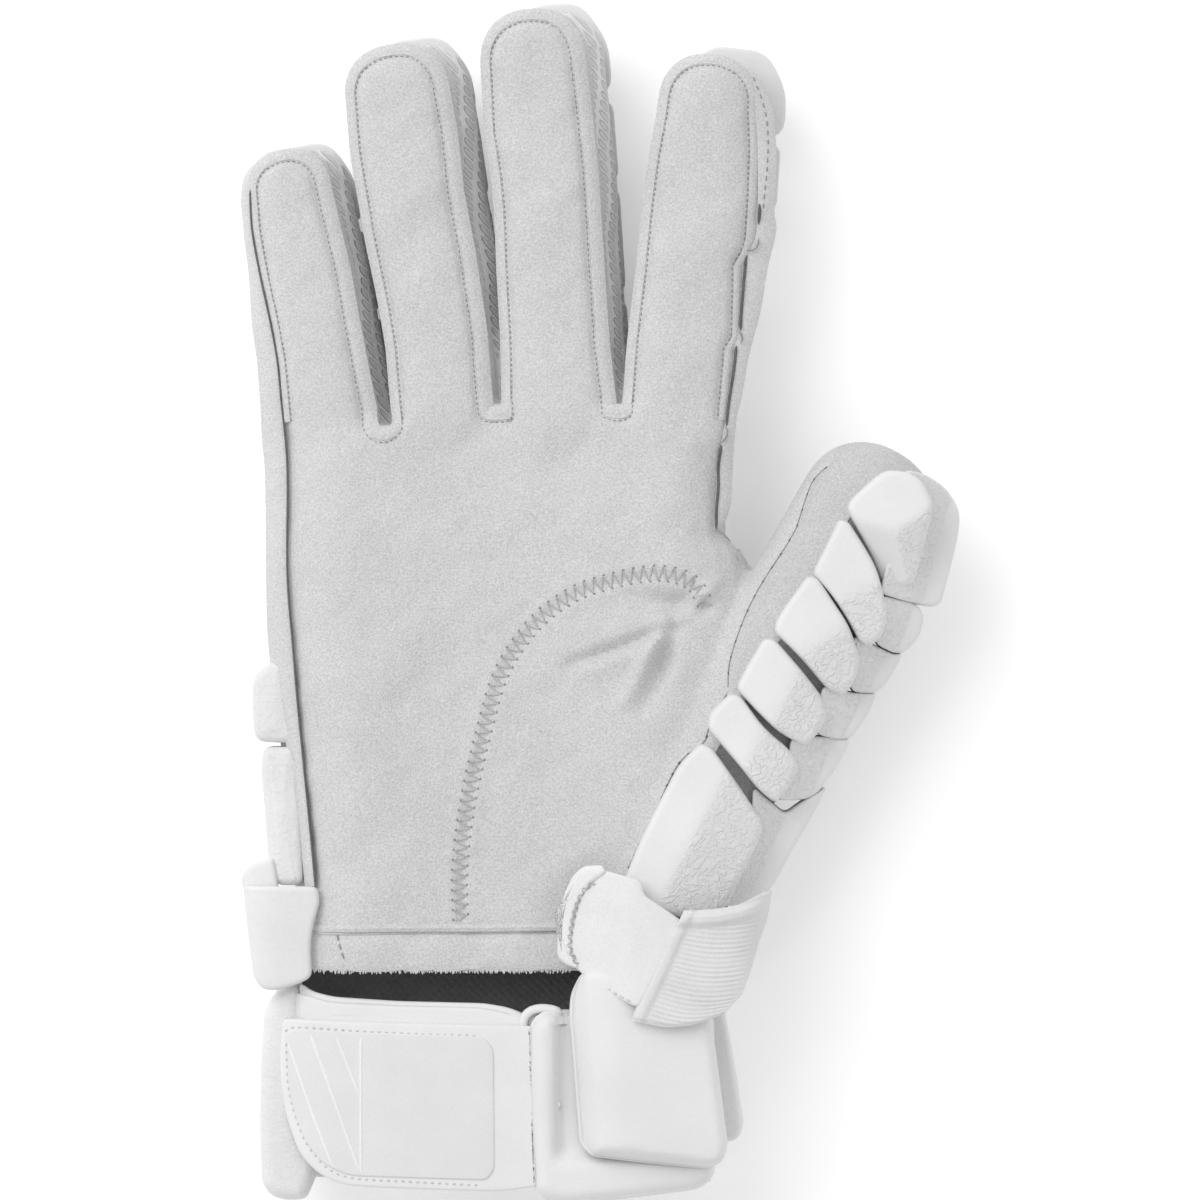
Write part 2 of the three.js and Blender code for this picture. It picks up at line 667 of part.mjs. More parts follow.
// Thumb pads. Front pads lie on the thumb beside the binding, outer pads beyond them. Rows give where
// each edge starts and ends, as shares of the thumb's length from its tip.
const FRONT_PADS = [
  { inner: [0.092, 0.163], outer: [0.06, 0.208] },
  { inner: [0.17, 0.288], outer: [0.25, 0.354] },
  { inner: [0.301, 0.42], outer: [0.362, 0.456] },
  { inner: [0.437, 0.557], outer: [0.5, 0.592] },
  { inner: [0.569, 0.645], outer: [0.612, 0.709] },
  { inner: [0.675, 0.98], outer: [0.753, 0.95] },
];
const OUTER_PADS = [
  { start: 0.03, end: 0.212, startReach: 0.78, endReach: 1.03 },
  { start: 0.222, end: 0.331, startReach: 0.98, endReach: 1.01 },
  { start: 0.341, end: 0.44, startReach: 0.98, endReach: 0.99 },
  { start: 0.45, end: 0.557, startReach: 0.97, endReach: 0.98 },
  { start: 0.567, end: 0.677, startReach: 0.97, endReach: 0.98 },
  { start: 0.687, end: 0.9, startReach: 0.97, endReach: 0.97 },
];

// Height of a round layer over the thumb, thick above its wall.
function overThumb(u, v, thick) {
  const across = clamp(Math.abs(u) / (THUMB_HALF_WIDTH + thick), 0, 1);
  const height = (THUMB_HALF_DEPTH + thick) * Math.pow(1 - Math.pow(across, ROUNDNESS), 1 / ROUNDNESS);
  return thumbHeight(v) + height;
}

FRONT_PADS.forEach(({ inner, outer }, i) => {
  const left = -BINDING_INNER + GAP - (i === FRONT_PADS.length - 1 ? 3.5 : 0);
  const right = left + THUMB_PAD_WIDTH;
  const plan = [
    [left, inner[0] * THUMB_LENGTH],
    [lerp(left, right, 0.5), lerp(inner[0], outer[0], 0.5) * THUMB_LENGTH],
    [right, outer[0] * THUMB_LENGTH],
    [right, outer[1] * THUMB_LENGTH],
    [lerp(left, right, 0.5), lerp(inner[1], outer[1], 0.5) * THUMB_LENGTH],
    [left, inner[1] * THUMB_LENGTH],
  ];
  const layer = (ring, thick) =>
    ring.map(([u, v]) => {
      const [x, y] = onThumb(u, v);
      return new THREE.Vector3(x, y, overThumb(u, v, thick));
    });
  const rings = [
    plan.map(([u, v]) => new THREE.Vector3(...onThumb(u, v), thumbHeight(v) + THUMB_HALF_DEPTH * 0.2)),
    layer(plan, THUMB_PAD_DEPTH * 0.5),
    layer(shrink(plan, THUMB_PAD_DEPTH * 0.32), THUMB_PAD_DEPTH),
  ];
  add(`thumb_front_pad_${i + 1}`, largest(body(rings).subtract(grown)), padding);
});

OUTER_PADS.forEach(({ start, end, startReach, endReach }, i) => {
  const left = THUMB_PAD_WIDTH - BINDING_INNER + 2 * GAP;
  const [v0, v1] = [start * THUMB_LENGTH, end * THUMB_LENGTH];
  const bevel = PAD_BEVEL * 0.6;
  const ring = (v) => {
    const share = lerp(startReach, endReach, (v - v0) / (v1 - v0));
    const reach = (THUMB_HALF_WIDTH + THUMB_OUTER_PAD_DEPTH) * share;
    return [
      [left, 0.62],
      [lerp(left, reach, 0.6), 0.5],
      [reach, 0.05],
      [reach - PAD_BEVEL * 0.5, -0.75],
      [left, -0.9],
    ].map(([u, height]) => {
      const [x, y] = onThumb(u, v);
      return new THREE.Vector3(x, y, thumbHeight(v) + height * (THUMB_HALF_DEPTH + THUMB_PAD_DEPTH * 0.3));
    });
  };
  const small = (v) => {
    const full = ring(v);
    const hub = full.reduce((sum, p) => sum.addScaledVector(p, 1 / full.length), new THREE.Vector3());
    return full.map((p) => p.clone().lerp(hub, 0.16));
  };
  const rings = [small(v0), ring(v0 + bevel), ring(v1 - bevel), small(v1)];
  add(`thumb_outer_pad_${i + 1}`, largest(body(rings).subtract(grown)), padding);
});

// Cuff
const CUFF_Z = CUFF_BACK_PAD_DEPTH + GAP + CUFF_DEPTH / 2;
const CUFF_END = -WRIST_GAP - CUFF_LENGTH;
const CUFF_SIDES = 24;
const CUFF_ROUNDNESS = 3.4;

function cuffBody(offset, low, high) {
  return body(
    [low, high].map((y) =>
      oblong(CUFF_WIDTH / 2 + offset, CUFF_DEPTH / 2 + offset, CUFF_SIDES, CUFF_ROUNDNESS).map(
        ([x, z]) => new THREE.Vector3(CUFF_CENTRE + x, y, CUFF_Z + z),
      ),
    ),
  );
}
const cuffLayer = (from, to) =>
  cuffBody(to, CUFF_END, 0).subtract(cuffBody(from, CUFF_END - PALM_LENGTH, PALM_LENGTH));

// The lining's back reaches the hand, its front starts lower, at the wrist opening.
const openFront = block(-FAR, FAR, -WRIST_GAP, FAR, CUFF_Z - CUFF_DEPTH * OPENING_RISE, FAR);
const liningZone = block(-FAR, FAR, CUFF_END + LINING_INSET, -GAP, -FAR, FAR);
add(
  "cuff_liner",
  largest(cuffLayer(-LINING, 0).subtract(openFront).intersect(liningZone)),
  lining,
);

const FRONT_EDGE = CUFF_Z + CUFF_DEPTH * FRONT_RISE;
const STRAP_TOP = -WRIST_GAP - STRAP_DROP;
const strapZone = block(-FAR, STRAP_RIGHT, STRAP_TOP - STRAP_WIDTH, STRAP_TOP, FRONT_EDGE, FAR);
add("wrist_strap", largest(cuffLayer(GAP, GAP + STRAP_THICKNESS).intersect(strapZone)), webbing);

// The patch, as shares of the strap's width: across from the strap's right end, down from its top
const PATCH = [
  [0.3, 0.19], [0.25, 0.14], [0.26, 0.12], [1.53, 0.08], [1.555, 0.3],
  [1.5, 0.62], [1.36, 0.83], [1.18, 0.93], [0.4, 0.965], [0.25, 0.9],
];
const patchPlan = PATCH.map(([across, down]) => [
  STRAP_RIGHT - across * STRAP_WIDTH,
  STRAP_TOP - down * STRAP_WIDTH,
]);
const patchZone = prism(patchPlan, FRONT_EDGE + GAP, FAR);
const patchFrom = STRAP_THICKNESS + 2 * GAP;
add("strap_patch", largest(cuffLayer(patchFrom, patchFrom + PATCH_THICKNESS).intersect(patchZone)), webbing);

// Pads round the cuff: sides, then the two on the front
const sideLow = CUFF_Z - CUFF_DEPTH * SIDE_PAD_FALL;
const sideHigh = FRONT_EDGE - GAP;
const sideReach = CUFF_WIDTH * SIDE_PAD_START;
const sideLayer = cuffLayer(GAP, GAP + CUFF_SIDE_PAD_DEPTH);
const leftEnd = -WRIST_GAP * SIDE_PAD_REACH;
const leftZone = block(-FAR, CUFF_CENTRE - sideReach, CUFF_END, leftEnd, sideLow, sideHigh);
add("cuff_pad_left", largest(sideLayer.intersect(leftZone)), padding);
const rightStart = CUFF_END + SIDE_PAD_INSET;
const rightZone = block(CUFF_CENTRE + sideReach, FAR, rightStart, -WRIST_GAP, sideLow, sideHigh);
add("cuff_pad_right_side", largest(sideLayer.intersect(rightZone)), padding);

// Outlines from the strap's right end and the cuff's open end, as shares of the cuff's length
const onCuff = (rows) =>
  rows.map(([across, up]) => [STRAP_RIGHT + GAP + across * CUFF_LENGTH, CUFF_END + up * CUFF_LENGTH]);
const INNER_PAD = [
  [0, 0.05], [0.12, 0], [0.46, 0.03], [0.84, 0.09], [0.955, 0.14],
  [0.96, 0.97], [0.1, 1], [0, 0.98],
];
const innerZone = prism(onCuff(INNER_PAD), FRONT_EDGE, FAR);
const innerLayer = cuffLayer(GAP, GAP + CUFF_INNER_PAD_DEPTH);
add("cuff_pad_right_inner", largest(innerLayer.intersect(innerZone)), padding);

const OUTER_PAD = [
  [0.25, 0.33], [0.28, 0.28], [0.58, 0.2], [0.98, 0.19], [1.035, 0.33],
  [0.945, 0.96], [0.55, 0.99], [0.33, 1.12], [0.25, 1.19], [0.205, 1.09], [0.205, 0.93],
];
const outerLow = CUFF_Z + CUFF_DEPTH / 2 + CUFF_INNER_PAD_DEPTH + 2 * GAP;
const outerPlan = onCuff(OUTER_PAD);
const outerRings = [
  { ring: shrink(outerPlan, PAD_BEVEL * 0.2), z: outerLow },
  { ring: outerPlan, z: outerLow + CUFF_OUTER_PAD_DEPTH * 0.3 },
  { ring: outerPlan, z: outerLow + CUFF_OUTER_PAD_DEPTH * 0.5 },
  { ring: shrink(outerPlan, PAD_BEVEL), z: outerLow + CUFF_OUTER_PAD_DEPTH },
];
const outerPad = body(outerRings.map(({ ring, z }) => ring.map(([x, y]) => new THREE.Vector3(x, y, z))));
add("cuff_pad_right_outer", largest(outerPad), padding);

// Two pads on the back of the cuff
for (const [name, side] of [["cuff_pad_back_1", -1], ["cuff_pad_back_2", 1]]) {
  const edge = CUFF_CENTRE + side * (CUFF_WIDTH / 2 - GAP);
  const inner = CUFF_CENTRE + (side * PAD_SEAM) / 2;
  const top = HAND_PAD_ROWS[0].low * PALM_LENGTH - PAD_SEAM / 2;
  const outline = [
    [Math.min(edge, inner), CUFF_END],
    [Math.max(edge, inner), CUFF_END],
    [Math.max(edge, inner), top],
    [Math.min(edge, inner), top],
  ];
  const padTop = CUFF_Z - CUFF_DEPTH * FRONT_RISE;
  const shape = backPad(cutCorners(outline, PAD_BEVEL), () => 0, padTop, PAD_BEVEL);
  const clear = shape
    .subtract(cuffBody(GAP, CUFF_END - PALM_LENGTH, GAP))
    .subtract(grown)
    .subtract(block(-FAR, FAR, -FAR, FAR, sideLow - GAP, FAR));
  add(name, largest(clear), padding);
}

// Bands: a plan outline cut out of a sheet that bends over the glove. Rows of the bend give x and the
// height of its underside.
function band(plan, bend, thickness) {
  const low = bend.map(([x, z]) => [x, z]);
  const high = bend.map(([x, z], i) => {
    const before = bend[Math.max(i - 1, 0)];
    const after = bend[Math.min(i + 1, bend.length - 1)];
    const along = new THREE.Vector2(after[0] - before[0], after[1] - before[1]).normalize();
    return [x - along.y * thickness, z + along.x * thickness];
  });
  const outline = [...low, ...high.reverse()];
  const shape = new THREE.Shape(outline.map(([x, z]) => new THREE.Vector2(x, z)));
  const geometry = new THREE.ExtrudeGeometry(shape, { depth: 2 * FAR, bevelEnabled: false });
  return solid(geometry.rotateX(Math.PI / 2).translate(0, FAR, 0)).intersect(prism(plan, -FAR, FAR));
}

// Elastic loop at the little finger's side of the wrist, in shares of half the knuckles' width and of
// the palm's length
const onPalm = (rows) => rows.map(([across, up]) => [across * KNUCKLE_HALF, up * PALM_LENGTH]);
const LEFT_TAB = [
  [-1.19, 0.162], [-1.15, 0.193], [-1.06, 0.207], [-1.055, 0.166], [-0.86, 0.16],
  [-0.833, 0.143], [-0.842, 0.101], [-0.869, 0.059], [-0.878, -0.011], [-0.937, -0.024],
  [-1.041, -0.035], [-1.104, -0.029], [-1.131, -0.004],
];
const LEFT_TAB_BEND = [
  [-1.185, 0.4], [-1.172, 0.75], [-1.13, 1.03], [-1.06, 1.17], [-0.95, 1.2], [-0.8, 1.222],
].map(([across, up]) => [across * KNUCKLE_HALF, LINER_Z + up * SIDE_DEPTH]);
add("left_tab", largest(band(onPalm(LEFT_TAB), LEFT_TAB_BEND, TAB_THICKNESS)), webbing);

// Webbing end sewn to the palm beside the thumb, and the ribbed elastic that it holds
const WEBBING = [
  [0.231, 0.024], [0.263, 0.116], [0.326, 0.182], [0.353, 0.193], [0.448, 0.193], [0.553, 0.182],
  [0.63, 0.173], [0.63, 0.143], [0.793, 0.116], [0.811, 0.094], [0.595, -0.055], [0.52, -0.044],
  [0.422, -0.013], [0.308, 0.012],
];
const ELASTIC = [
  [0.865, 0.125], [1.21, 0.149], [1.212, 0.11], [1.14, 0.046], [1.087, -0.018], [1.055, -0.046],
  [0.983, -0.068], [0.793, -0.088], [0.639, -0.09], [0.615, -0.067],
];
const RIGHT_TAB_BEND = [
  [0.2, 1.58], [0.34, 1.78], [0.5, 2.08], [0.6, 2.25], [0.85, 2.28], [1.02, 2.2], [1.11, 1.98],
  [1.165, 1.55], [1.18, 0.9],
].map(([across, up]) => [across * KNUCKLE_HALF, LINER_Z + up * SIDE_DEPTH]);
add("right_tab_webbing", largest(band(onPalm(WEBBING), RIGHT_TAB_BEND, TAB_THICKNESS)), webbing);
add("right_tab_elastic", largest(band(onPalm(ELASTIC), RIGHT_TAB_BEND, TAB_THICKNESS)), webbing);

// The middle of the footprint becomes the origin.
const extent = new THREE.Box3().setFromObject(glove);
const middle = extent.getCenter(new THREE.Vector3());
glove.position.set(-middle.x, -middle.y, -extent.min.z);

export default glove;
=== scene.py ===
# %% [markdown]
# # A padded lacrosse glove, palm up
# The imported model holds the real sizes: a suede shell for the hand, foam pads sewn on its back and
# thumb, a cuff with a closing strap, and two tabs. Here every one of those pieces is modelled again
# with its true surface, in the same place, and gets its cloth, leather or webbing.

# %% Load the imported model
import json
import math
import random

import bpy
import numpy as np
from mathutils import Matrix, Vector
from mathutils.bvhtree import BVHTree
from mathutils.kdtree import KDTree

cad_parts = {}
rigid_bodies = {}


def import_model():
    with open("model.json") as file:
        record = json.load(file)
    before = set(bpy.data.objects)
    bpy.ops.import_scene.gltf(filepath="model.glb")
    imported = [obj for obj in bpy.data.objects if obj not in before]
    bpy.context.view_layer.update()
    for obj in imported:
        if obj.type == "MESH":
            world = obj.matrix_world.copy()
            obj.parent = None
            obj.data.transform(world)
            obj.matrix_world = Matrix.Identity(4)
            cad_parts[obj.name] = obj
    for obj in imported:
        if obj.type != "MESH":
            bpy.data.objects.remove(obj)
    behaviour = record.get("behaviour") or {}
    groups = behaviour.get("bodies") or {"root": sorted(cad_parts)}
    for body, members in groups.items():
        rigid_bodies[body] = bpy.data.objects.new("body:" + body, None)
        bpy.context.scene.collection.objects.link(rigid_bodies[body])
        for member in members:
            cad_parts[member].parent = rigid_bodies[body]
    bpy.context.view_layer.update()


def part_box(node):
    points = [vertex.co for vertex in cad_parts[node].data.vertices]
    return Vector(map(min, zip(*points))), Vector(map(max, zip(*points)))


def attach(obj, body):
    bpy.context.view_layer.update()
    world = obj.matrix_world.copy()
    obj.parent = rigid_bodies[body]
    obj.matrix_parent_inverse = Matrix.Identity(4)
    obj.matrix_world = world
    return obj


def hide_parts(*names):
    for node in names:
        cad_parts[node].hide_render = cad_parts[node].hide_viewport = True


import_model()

# %% [markdown]
# ## Measures
# Shapes are worked out in millimetres on the glove, from the middle of its hem: x runs to the thumb,
# y to the fingertips and z out of the palm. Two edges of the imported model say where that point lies.

# %% Millimetres on the glove, and pixels of the photograph
MM = 0.001
STRAP_RIGHT = 8.4
GLOVE_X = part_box("wrist_strap")[1].x - STRAP_RIGHT * MM
GLOVE_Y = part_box("palm_hem")[0].y
PIXEL = 0.2757
HEM_MIDDLE_PIXEL = (504, 969)


def place(x, y, z):
    return Vector((GLOVE_X + x * MM, GLOVE_Y + y * MM, z * MM))


def photo(column, row):
    return ((column - HEM_MIDDLE_PIXEL[0]) * PIXEL, (HEM_MIDDLE_PIXEL[1] - row) * PIXEL)


def traced(pixels):
    """Pixels of the photograph as points on the glove."""
    return [photo(*pixel) for pixel in pixels]


def lerp(a, b, t):
    return a + (b - a) * t


def clamp(value, low=0.0, high=1.0):
    return max(low, min(high, value))


def smoothstep(low, high, value):
    t = clamp((value - low) / (high - low))
    return t * t * (3 - 2 * t)


def curve_value(rows, at):
    """A value read from (place, value) rows, with eased steps between them."""
    if at <= rows[0][0]:
        return rows[0][1]
    for (a, low), (b, high) in zip(rows, rows[1:]):
        if at <= b:
            return lerp(low, high, (at - a) / (b - a))
    return rows[-1][1]


# %% [markdown]
# ## Working as by hand
# Blender's tools act on what is selected, and loading leaves everything selected. So each tool call
# starts from an empty selection with one active object.

# %% Selection, modifiers and shading
def deselect():
    if bpy.context.object and bpy.context.object.mode != "OBJECT":
        bpy.ops.object.mode_set(mode="OBJECT")
    bpy.ops.object.select_all(action="DESELECT")


def choose(*objects):
    deselect()
    for one in objects:
        one.select_set(True)
    bpy.context.view_layer.objects.active = objects[0]


def modify(obj, kind, **settings):
    """Adds a modifier, sets it and applies it."""
    choose(obj)
    bpy.ops.object.modifier_add(type=kind)
    modifier = obj.modifiers[-1]
    for key, value in settings.items():
        setattr(modifier, key, value)
    bpy.ops.object.modifier_apply(modifier=modifier.name)


def edit(obj, *steps):
    """Runs edit-mode tools on the whole mesh of one object."""
    choose(obj)
    bpy.ops.object.mode_set(mode="EDIT")
    bpy.ops.mesh.select_all(action="SELECT")
    for step in steps:
        step()
    bpy.ops.object.mode_set(mode="OBJECT")


def smooth(obj, angle=38):
    choose(obj)
    bpy.ops.object.shade_smooth_by_angle(angle=math.radians(angle))


def triangles(obj):
    return sum(len(face.vertices) - 2 for face in obj.data.polygons)


def join(name, objects):
    choose(*objects)
    if len(objects) > 1:
        bpy.ops.object.join()
    made = bpy.context.object
    made.name = name
    return made


# %% [markdown]
# ## Materials
# The photograph shows five finishes: short-napped suede, moulded leather over foam, woven webbing,
# a knit with round holes, and a dark lining. They share three effects, each a node group: a soft
# mottling of the colour, a fine grain in relief, and the crinkled pebbling of the pads' sides.

# %% Node helpers
def node_group(name, inputs, outputs):
    group = bpy.data.node_groups.new(name, "ShaderNodeTree")
    for label, kind, value in inputs:
        socket = group.interface.new_socket(label, in_out="INPUT", socket_type=kind)
        if value is not None:
            socket.default_value = value
    for label, kind in outputs:
        group.interface.new_socket(label, in_out="OUTPUT", socket_type=kind)
    start = group.nodes.new("NodeGroupInput")
    end = group.nodes.new("NodeGroupOutput")
    return group, start, end


def add_node(tree, kind, **settings):
    node = tree.nodes.new(kind)
    for key, value in settings.items():
        setattr(node, key, value)
    return node


def math_node(tree, operation, first, second=None):
    node = add_node(tree, "ShaderNodeMath", operation=operation)
    for socket, value in zip(node.inputs, (first, second)):
        if value is None:
            continue
        if isinstance(value, (int, float)):
            socket.default_value = value
        else:
            tree.links.new(value, socket)
    return node.outputs[0]


def object_position(tree):
    return add_node(tree, "ShaderNodeTexCoord").outputs["Object"]


# %% Mottled colour: two tones mixed by a slow and a fast noise
def make_mottle():
    group, start, end = node_group(
        "mottled colour",
        [("Dark", "NodeSocketColor", None), ("Light", "NodeSocketColor", None),
         ("Patch Scale", "NodeSocketFloat", 60.0), ("Grain Scale", "NodeSocketFloat", 1500.0),
         ("Grain Share", "NodeSocketFloat", 0.5)],
        [("Color", "NodeSocketColor")],
    )
    where = object_position(group)
    patches = add_node(group, "ShaderNodeTexNoise")
    patches.inputs["Detail"].default_value = 3
    grains = add_node(group, "ShaderNodeTexNoise")
    grains.inputs["Detail"].default_value = 2
    for noise, scale in ((patches, "Patch Scale"), (grains, "Grain Scale")):
        group.links.new(where, noise.inputs["Vector"])
        group.links.new(start.outputs[scale], noise.inputs["Scale"])
    share = add_node(group, "ShaderNodeMix", data_type="FLOAT")
    group.links.new(start.outputs["Grain Share"], share.inputs[0])
    group.links.new(patches.outputs[0], share.inputs[2])
    group.links.new(grains.outputs[0], share.inputs[3])
    spread = add_node(group, "ShaderNodeMapRange")
    spread.inputs["From Min"].default_value = 0.34
    spread.inputs["From Max"].default_value = 0.66
    group.links.new(share.outputs[0], spread.inputs["Value"])
    tones = add_node(group, "ShaderNodeMix", data_type="RGBA")
    group.links.new(spread.outputs[0], tones.inputs[0])
    group.links.new(start.outputs["Dark"], tones.inputs[6])
    group.links.new(start.outputs["Light"], tones.inputs[7])
    group.links.new(tones.outputs[2], end.inputs["Color"])
    return group


# %% Fine grain in relief
def make_grain():
    group, start, end = node_group(
        "fine grain",
        [("Scale", "NodeSocketFloat", 1200.0), ("Depth", "NodeSocketFloat", 0.0001),
         ("Wave Scale", "NodeSocketFloat", 120.0), ("Wave Depth", "NodeSocketFloat", 0.0001)],
        [("Normal", "NodeSocketVector")],
    )
    where = object_position(group)
    heights = []
    for scale, depth in (("Scale", "Depth"), ("Wave Scale", "Wave Depth")):
        noise = add_node(group, "ShaderNodeTexNoise")
        noise.inputs["Detail"].default_value = 4
        group.links.new(where, noise.inputs["Vector"])
        group.links.new(start.outputs[scale], noise.inputs["Scale"])
        heights.append(math_node(group, "MULTIPLY", noise.outputs[0], start.outputs[depth]))
    total = math_node(group, "ADD", heights[0], heights[1])
    bump = add_node(group, "ShaderNodeBump")
    bump.inputs["Distance"].default_value = 1
    group.links.new(total, bump.inputs["Height"])
    group.links.new(bump.outputs[0], end.inputs["Normal"])
    return group


# %% Pebbled leather: crinkles where the mask is 1, nearly smooth where it is 0
def make_pebble():
    group, start, end = node_group(
        "pebbled leather",
        [("Mask", "NodeSocketFloat", 1.0), ("Scale", "NodeSocketFloat", 420.0),
         ("Depth", "NodeSocketFloat", 0.0006), ("Smooth Share", "NodeSocketFloat", 0.15)],
        [("Height", "NodeSocketFloat")],
    )
    where = object_position(group)
    bend = add_node(group, "ShaderNodeTexNoise")
    bend.inputs["Scale"].default_value = 260
    bend.inputs["Detail"].default_value = 2
    group.links.new(where, bend.inputs["Vector"])
    shift = add_node(group, "ShaderNodeVectorMath", operation="MULTIPLY_ADD")
    group.links.new(bend.outputs["Color"], shift.inputs[0])
    shift.inputs[1].default_value = (0.0035, 0.0035, 0.0035)
    group.links.new(where, shift.inputs[2])
    crinkle = add_node(group, "ShaderNodeTexNoise")
    crinkle.inputs["Detail"].default_value = 3
    group.links.new(shift.outputs[0], crinkle.inputs["Vector"])
    group.links.new(start.outputs["Scale"], crinkle.inputs["Scale"])
    ridge = math_node(group, "ABSOLUTE", math_node(group, "SUBTRACT", crinkle.outputs[0], 0.5))
    sharp = math_node(group, "MINIMUM", math_node(group, "MULTIPLY", ridge, 5.0), 0.6)
    strength = add_node(group, "ShaderNodeMix", data_type="FLOAT")
    group.links.new(start.outputs["Mask"], strength.inputs[0])
    group.links.new(start.outputs["Smooth Share"], strength.inputs[2])
    strength.inputs[3].default_value = 1
    height = math_node(group, "MULTIPLY", sharp, strength.outputs[0])
    height = math_node(group, "MULTIPLY", height, start.outputs["Depth"])
    group.links.new(height, end.inputs["Height"])
    return group


MOTTLE = make_mottle()
GRAIN = make_grain()
PEBBLE = make_pebble()
print("node groups", MOTTLE.name, GRAIN.name, PEBBLE.name)


# %% A material with mottled colour and grain, the start of every finish
def grey(value):
    return (value, value, value, 1)


def base_material(name, dark, light, roughness, patch_scale=60, grain_scale=1500, grain_share=0.5):
    material = bpy.data.materials.new(name)
    material.use_nodes = True
    tree = material.node_tree
    shader = tree.nodes["Principled BSDF"]
    shader.inputs["Roughness"].default_value = roughness
    shader.inputs["Specular IOR Level"].default_value = 0.25
    mottle = add_node(tree, "ShaderNodeGroup", node_tree=MOTTLE)
    mottle.inputs["Dark"].default_value = grey(dark)
    mottle.inputs["Light"].default_value = grey(light)
    mottle.inputs["Patch Scale"].default_value = patch_scale
    mottle.inputs["Grain Scale"].default_value = grain_scale
    mottle.inputs["Grain Share"].default_value = grain_share
    tree.links.new(mottle.outputs[0], shader.inputs["Base Color"])
    return material, tree, shader, mottle


def add_grain(tree, shader, scale, depth, wave_scale, wave_depth):
    grain = add_node(tree, "ShaderNodeGroup", node_tree=GRAIN)
    grain.inputs["Scale"].default_value = scale
    grain.inputs["Depth"].default_value = depth
    grain.inputs["Wave Scale"].default_value = wave_scale
    grain.inputs["Wave Depth"].default_value = wave_depth
    tree.links.new(grain.outputs[0], shader.inputs["Normal"])


# %% Suede, in the three tones of the palm, the binding strip and the side panels
def suede_material(name, dark, light):
    material, tree, shader, mottle = base_material(name, dark, light, 0.95, 45, 1900, 0.86)
    shader.inputs["Sheen Weight"].default_value = 0.12
    shader.inputs["Sheen Roughness"].default_value = 0.6
    add_grain(tree, shader, 1800, 0.00022, 260, 0.0002)
    return material


palm_suede = suede_material("palm_suede", 0.52, 0.70)
binding_suede = suede_material("binding_suede", 0.48, 0.64)
side_suede = suede_material("side_suede", 0.56, 0.72)
thread_material, tree, shader, mottle = base_material("grey_thread", 0.24, 0.34, 0.8, 400, 2500)
white_thread, tree, shader, mottle = base_material("white_thread", 0.58, 0.68, 0.8, 400, 2500)
pale_thread, tree, shader, mottle = base_material("pale_thread", 0.42, 0.52, 0.8, 400, 2500)
# Near-black: painted shade in open seams and slits, and the colour of the dark tacks
seam_shadow, tree, shader, mottle = base_material("seam_shadow", 0.10, 0.16, 1.0, 400, 1500)


# %% Moulded leather over foam: the corner attribute "pebble" says where it is crinkled
def pad_material(name, dark, light, depth=0.0006, scale=420):
    material, tree, shader, mottle = base_material(name, dark, light, 0.62, 40, 900, 0.25)
    shader.inputs["Specular IOR Level"].default_value = 0.35
    mask = add_node(tree, "ShaderNodeAttribute", attribute_name="pebble")
    pebble = add_node(tree, "ShaderNodeGroup", node_tree=PEBBLE)
    pebble.inputs["Scale"].default_value = scale
    pebble.inputs["Depth"].default_value = depth
    pebble.inputs["Smooth Share"].default_value = 0.12
    tree.links.new(mask.outputs["Fac"], pebble.inputs["Mask"])
    bump = add_node(tree, "ShaderNodeBump")
    bump.inputs["Distance"].default_value = 1
    tree.links.new(pebble.outputs[0], bump.inputs["Height"])
    tree.links.new(bump.outputs[0], shader.inputs["Normal"])
    return material


pad_leather = pad_material("pad_leather", 0.74, 0.80, 0.00032, 430)
cuff_leather = pad_material("cuff_leather", 0.75, 0.80, 0.0003, 700)
# The bed between the pads is the pads' own white leather; its dark colour is painted shade of the deep gaps
base_leather = pad_material("base_leather", 0.22, 0.30, 0.0004, 500)


# %% Woven webbing: a fine grid of raised threads
def weave_height(tree, across_per_metre, along_per_metre, where=None):
    split = add_node(tree, "ShaderNodeSeparateXYZ")
    tree.links.new(where or object_position(tree), split.inputs[0])
    waves = []
    for axis, rate in ((0, across_per_metre), (1, along_per_metre)):
        turned = math_node(tree, "MULTIPLY", split.outputs[axis], 2 * math.pi * rate)
        waves.append(math_node(tree, "SINE", turned))
    return math_node(tree, "MULTIPLY", waves[0], waves[1])


def webbing_material(name, dark, light, across, along, depth):
    material, tree, shader, mottle = base_material(name, dark, light, 0.85, 90, 1100, 0.4)
    noise = add_node(tree, "ShaderNodeTexNoise")
    noise.inputs["Scale"].default_value = 900
    tree.links.new(object_position(tree), noise.inputs["Vector"])
    height = math_node(tree, "ADD", weave_height(tree, across, along), noise.outputs[0])
    height = math_node(tree, "MULTIPLY", height, depth)
    bump = add_node(tree, "ShaderNodeBump")
    bump.inputs["Distance"].default_value = 1
    tree.links.new(height, bump.inputs["Height"])
    tree.links.new(bump.outputs[0], shader.inputs["Normal"])
    shader.inputs["Sheen Weight"].default_value = 0.15
    return material


webbing_cloth = webbing_material("webbing_cloth", 0.76, 0.83, 1500, 1100, 0.00005)
loop_cloth = webbing_material("loop_cloth", 0.74, 0.80, 900, 1900, 0.00004)
elastic_cloth = webbing_material("elastic_cloth", 0.70, 0.78, 900, 1400, 0.00006)
strap_rubber = webbing_material("strap_rubber", 0.76, 0.80, 500, 500, 0.00001)
patch_rubber = webbing_material("patch_rubber", 0.72, 0.76, 500, 500, 0.00001)
raised_rubber = webbing_material("raised_rubber", 0.82, 0.86, 500, 500, 0.00001)
lining_cloth = webbing_material("lining_cloth", 0.16, 0.21, 420, 420, 0.00008)
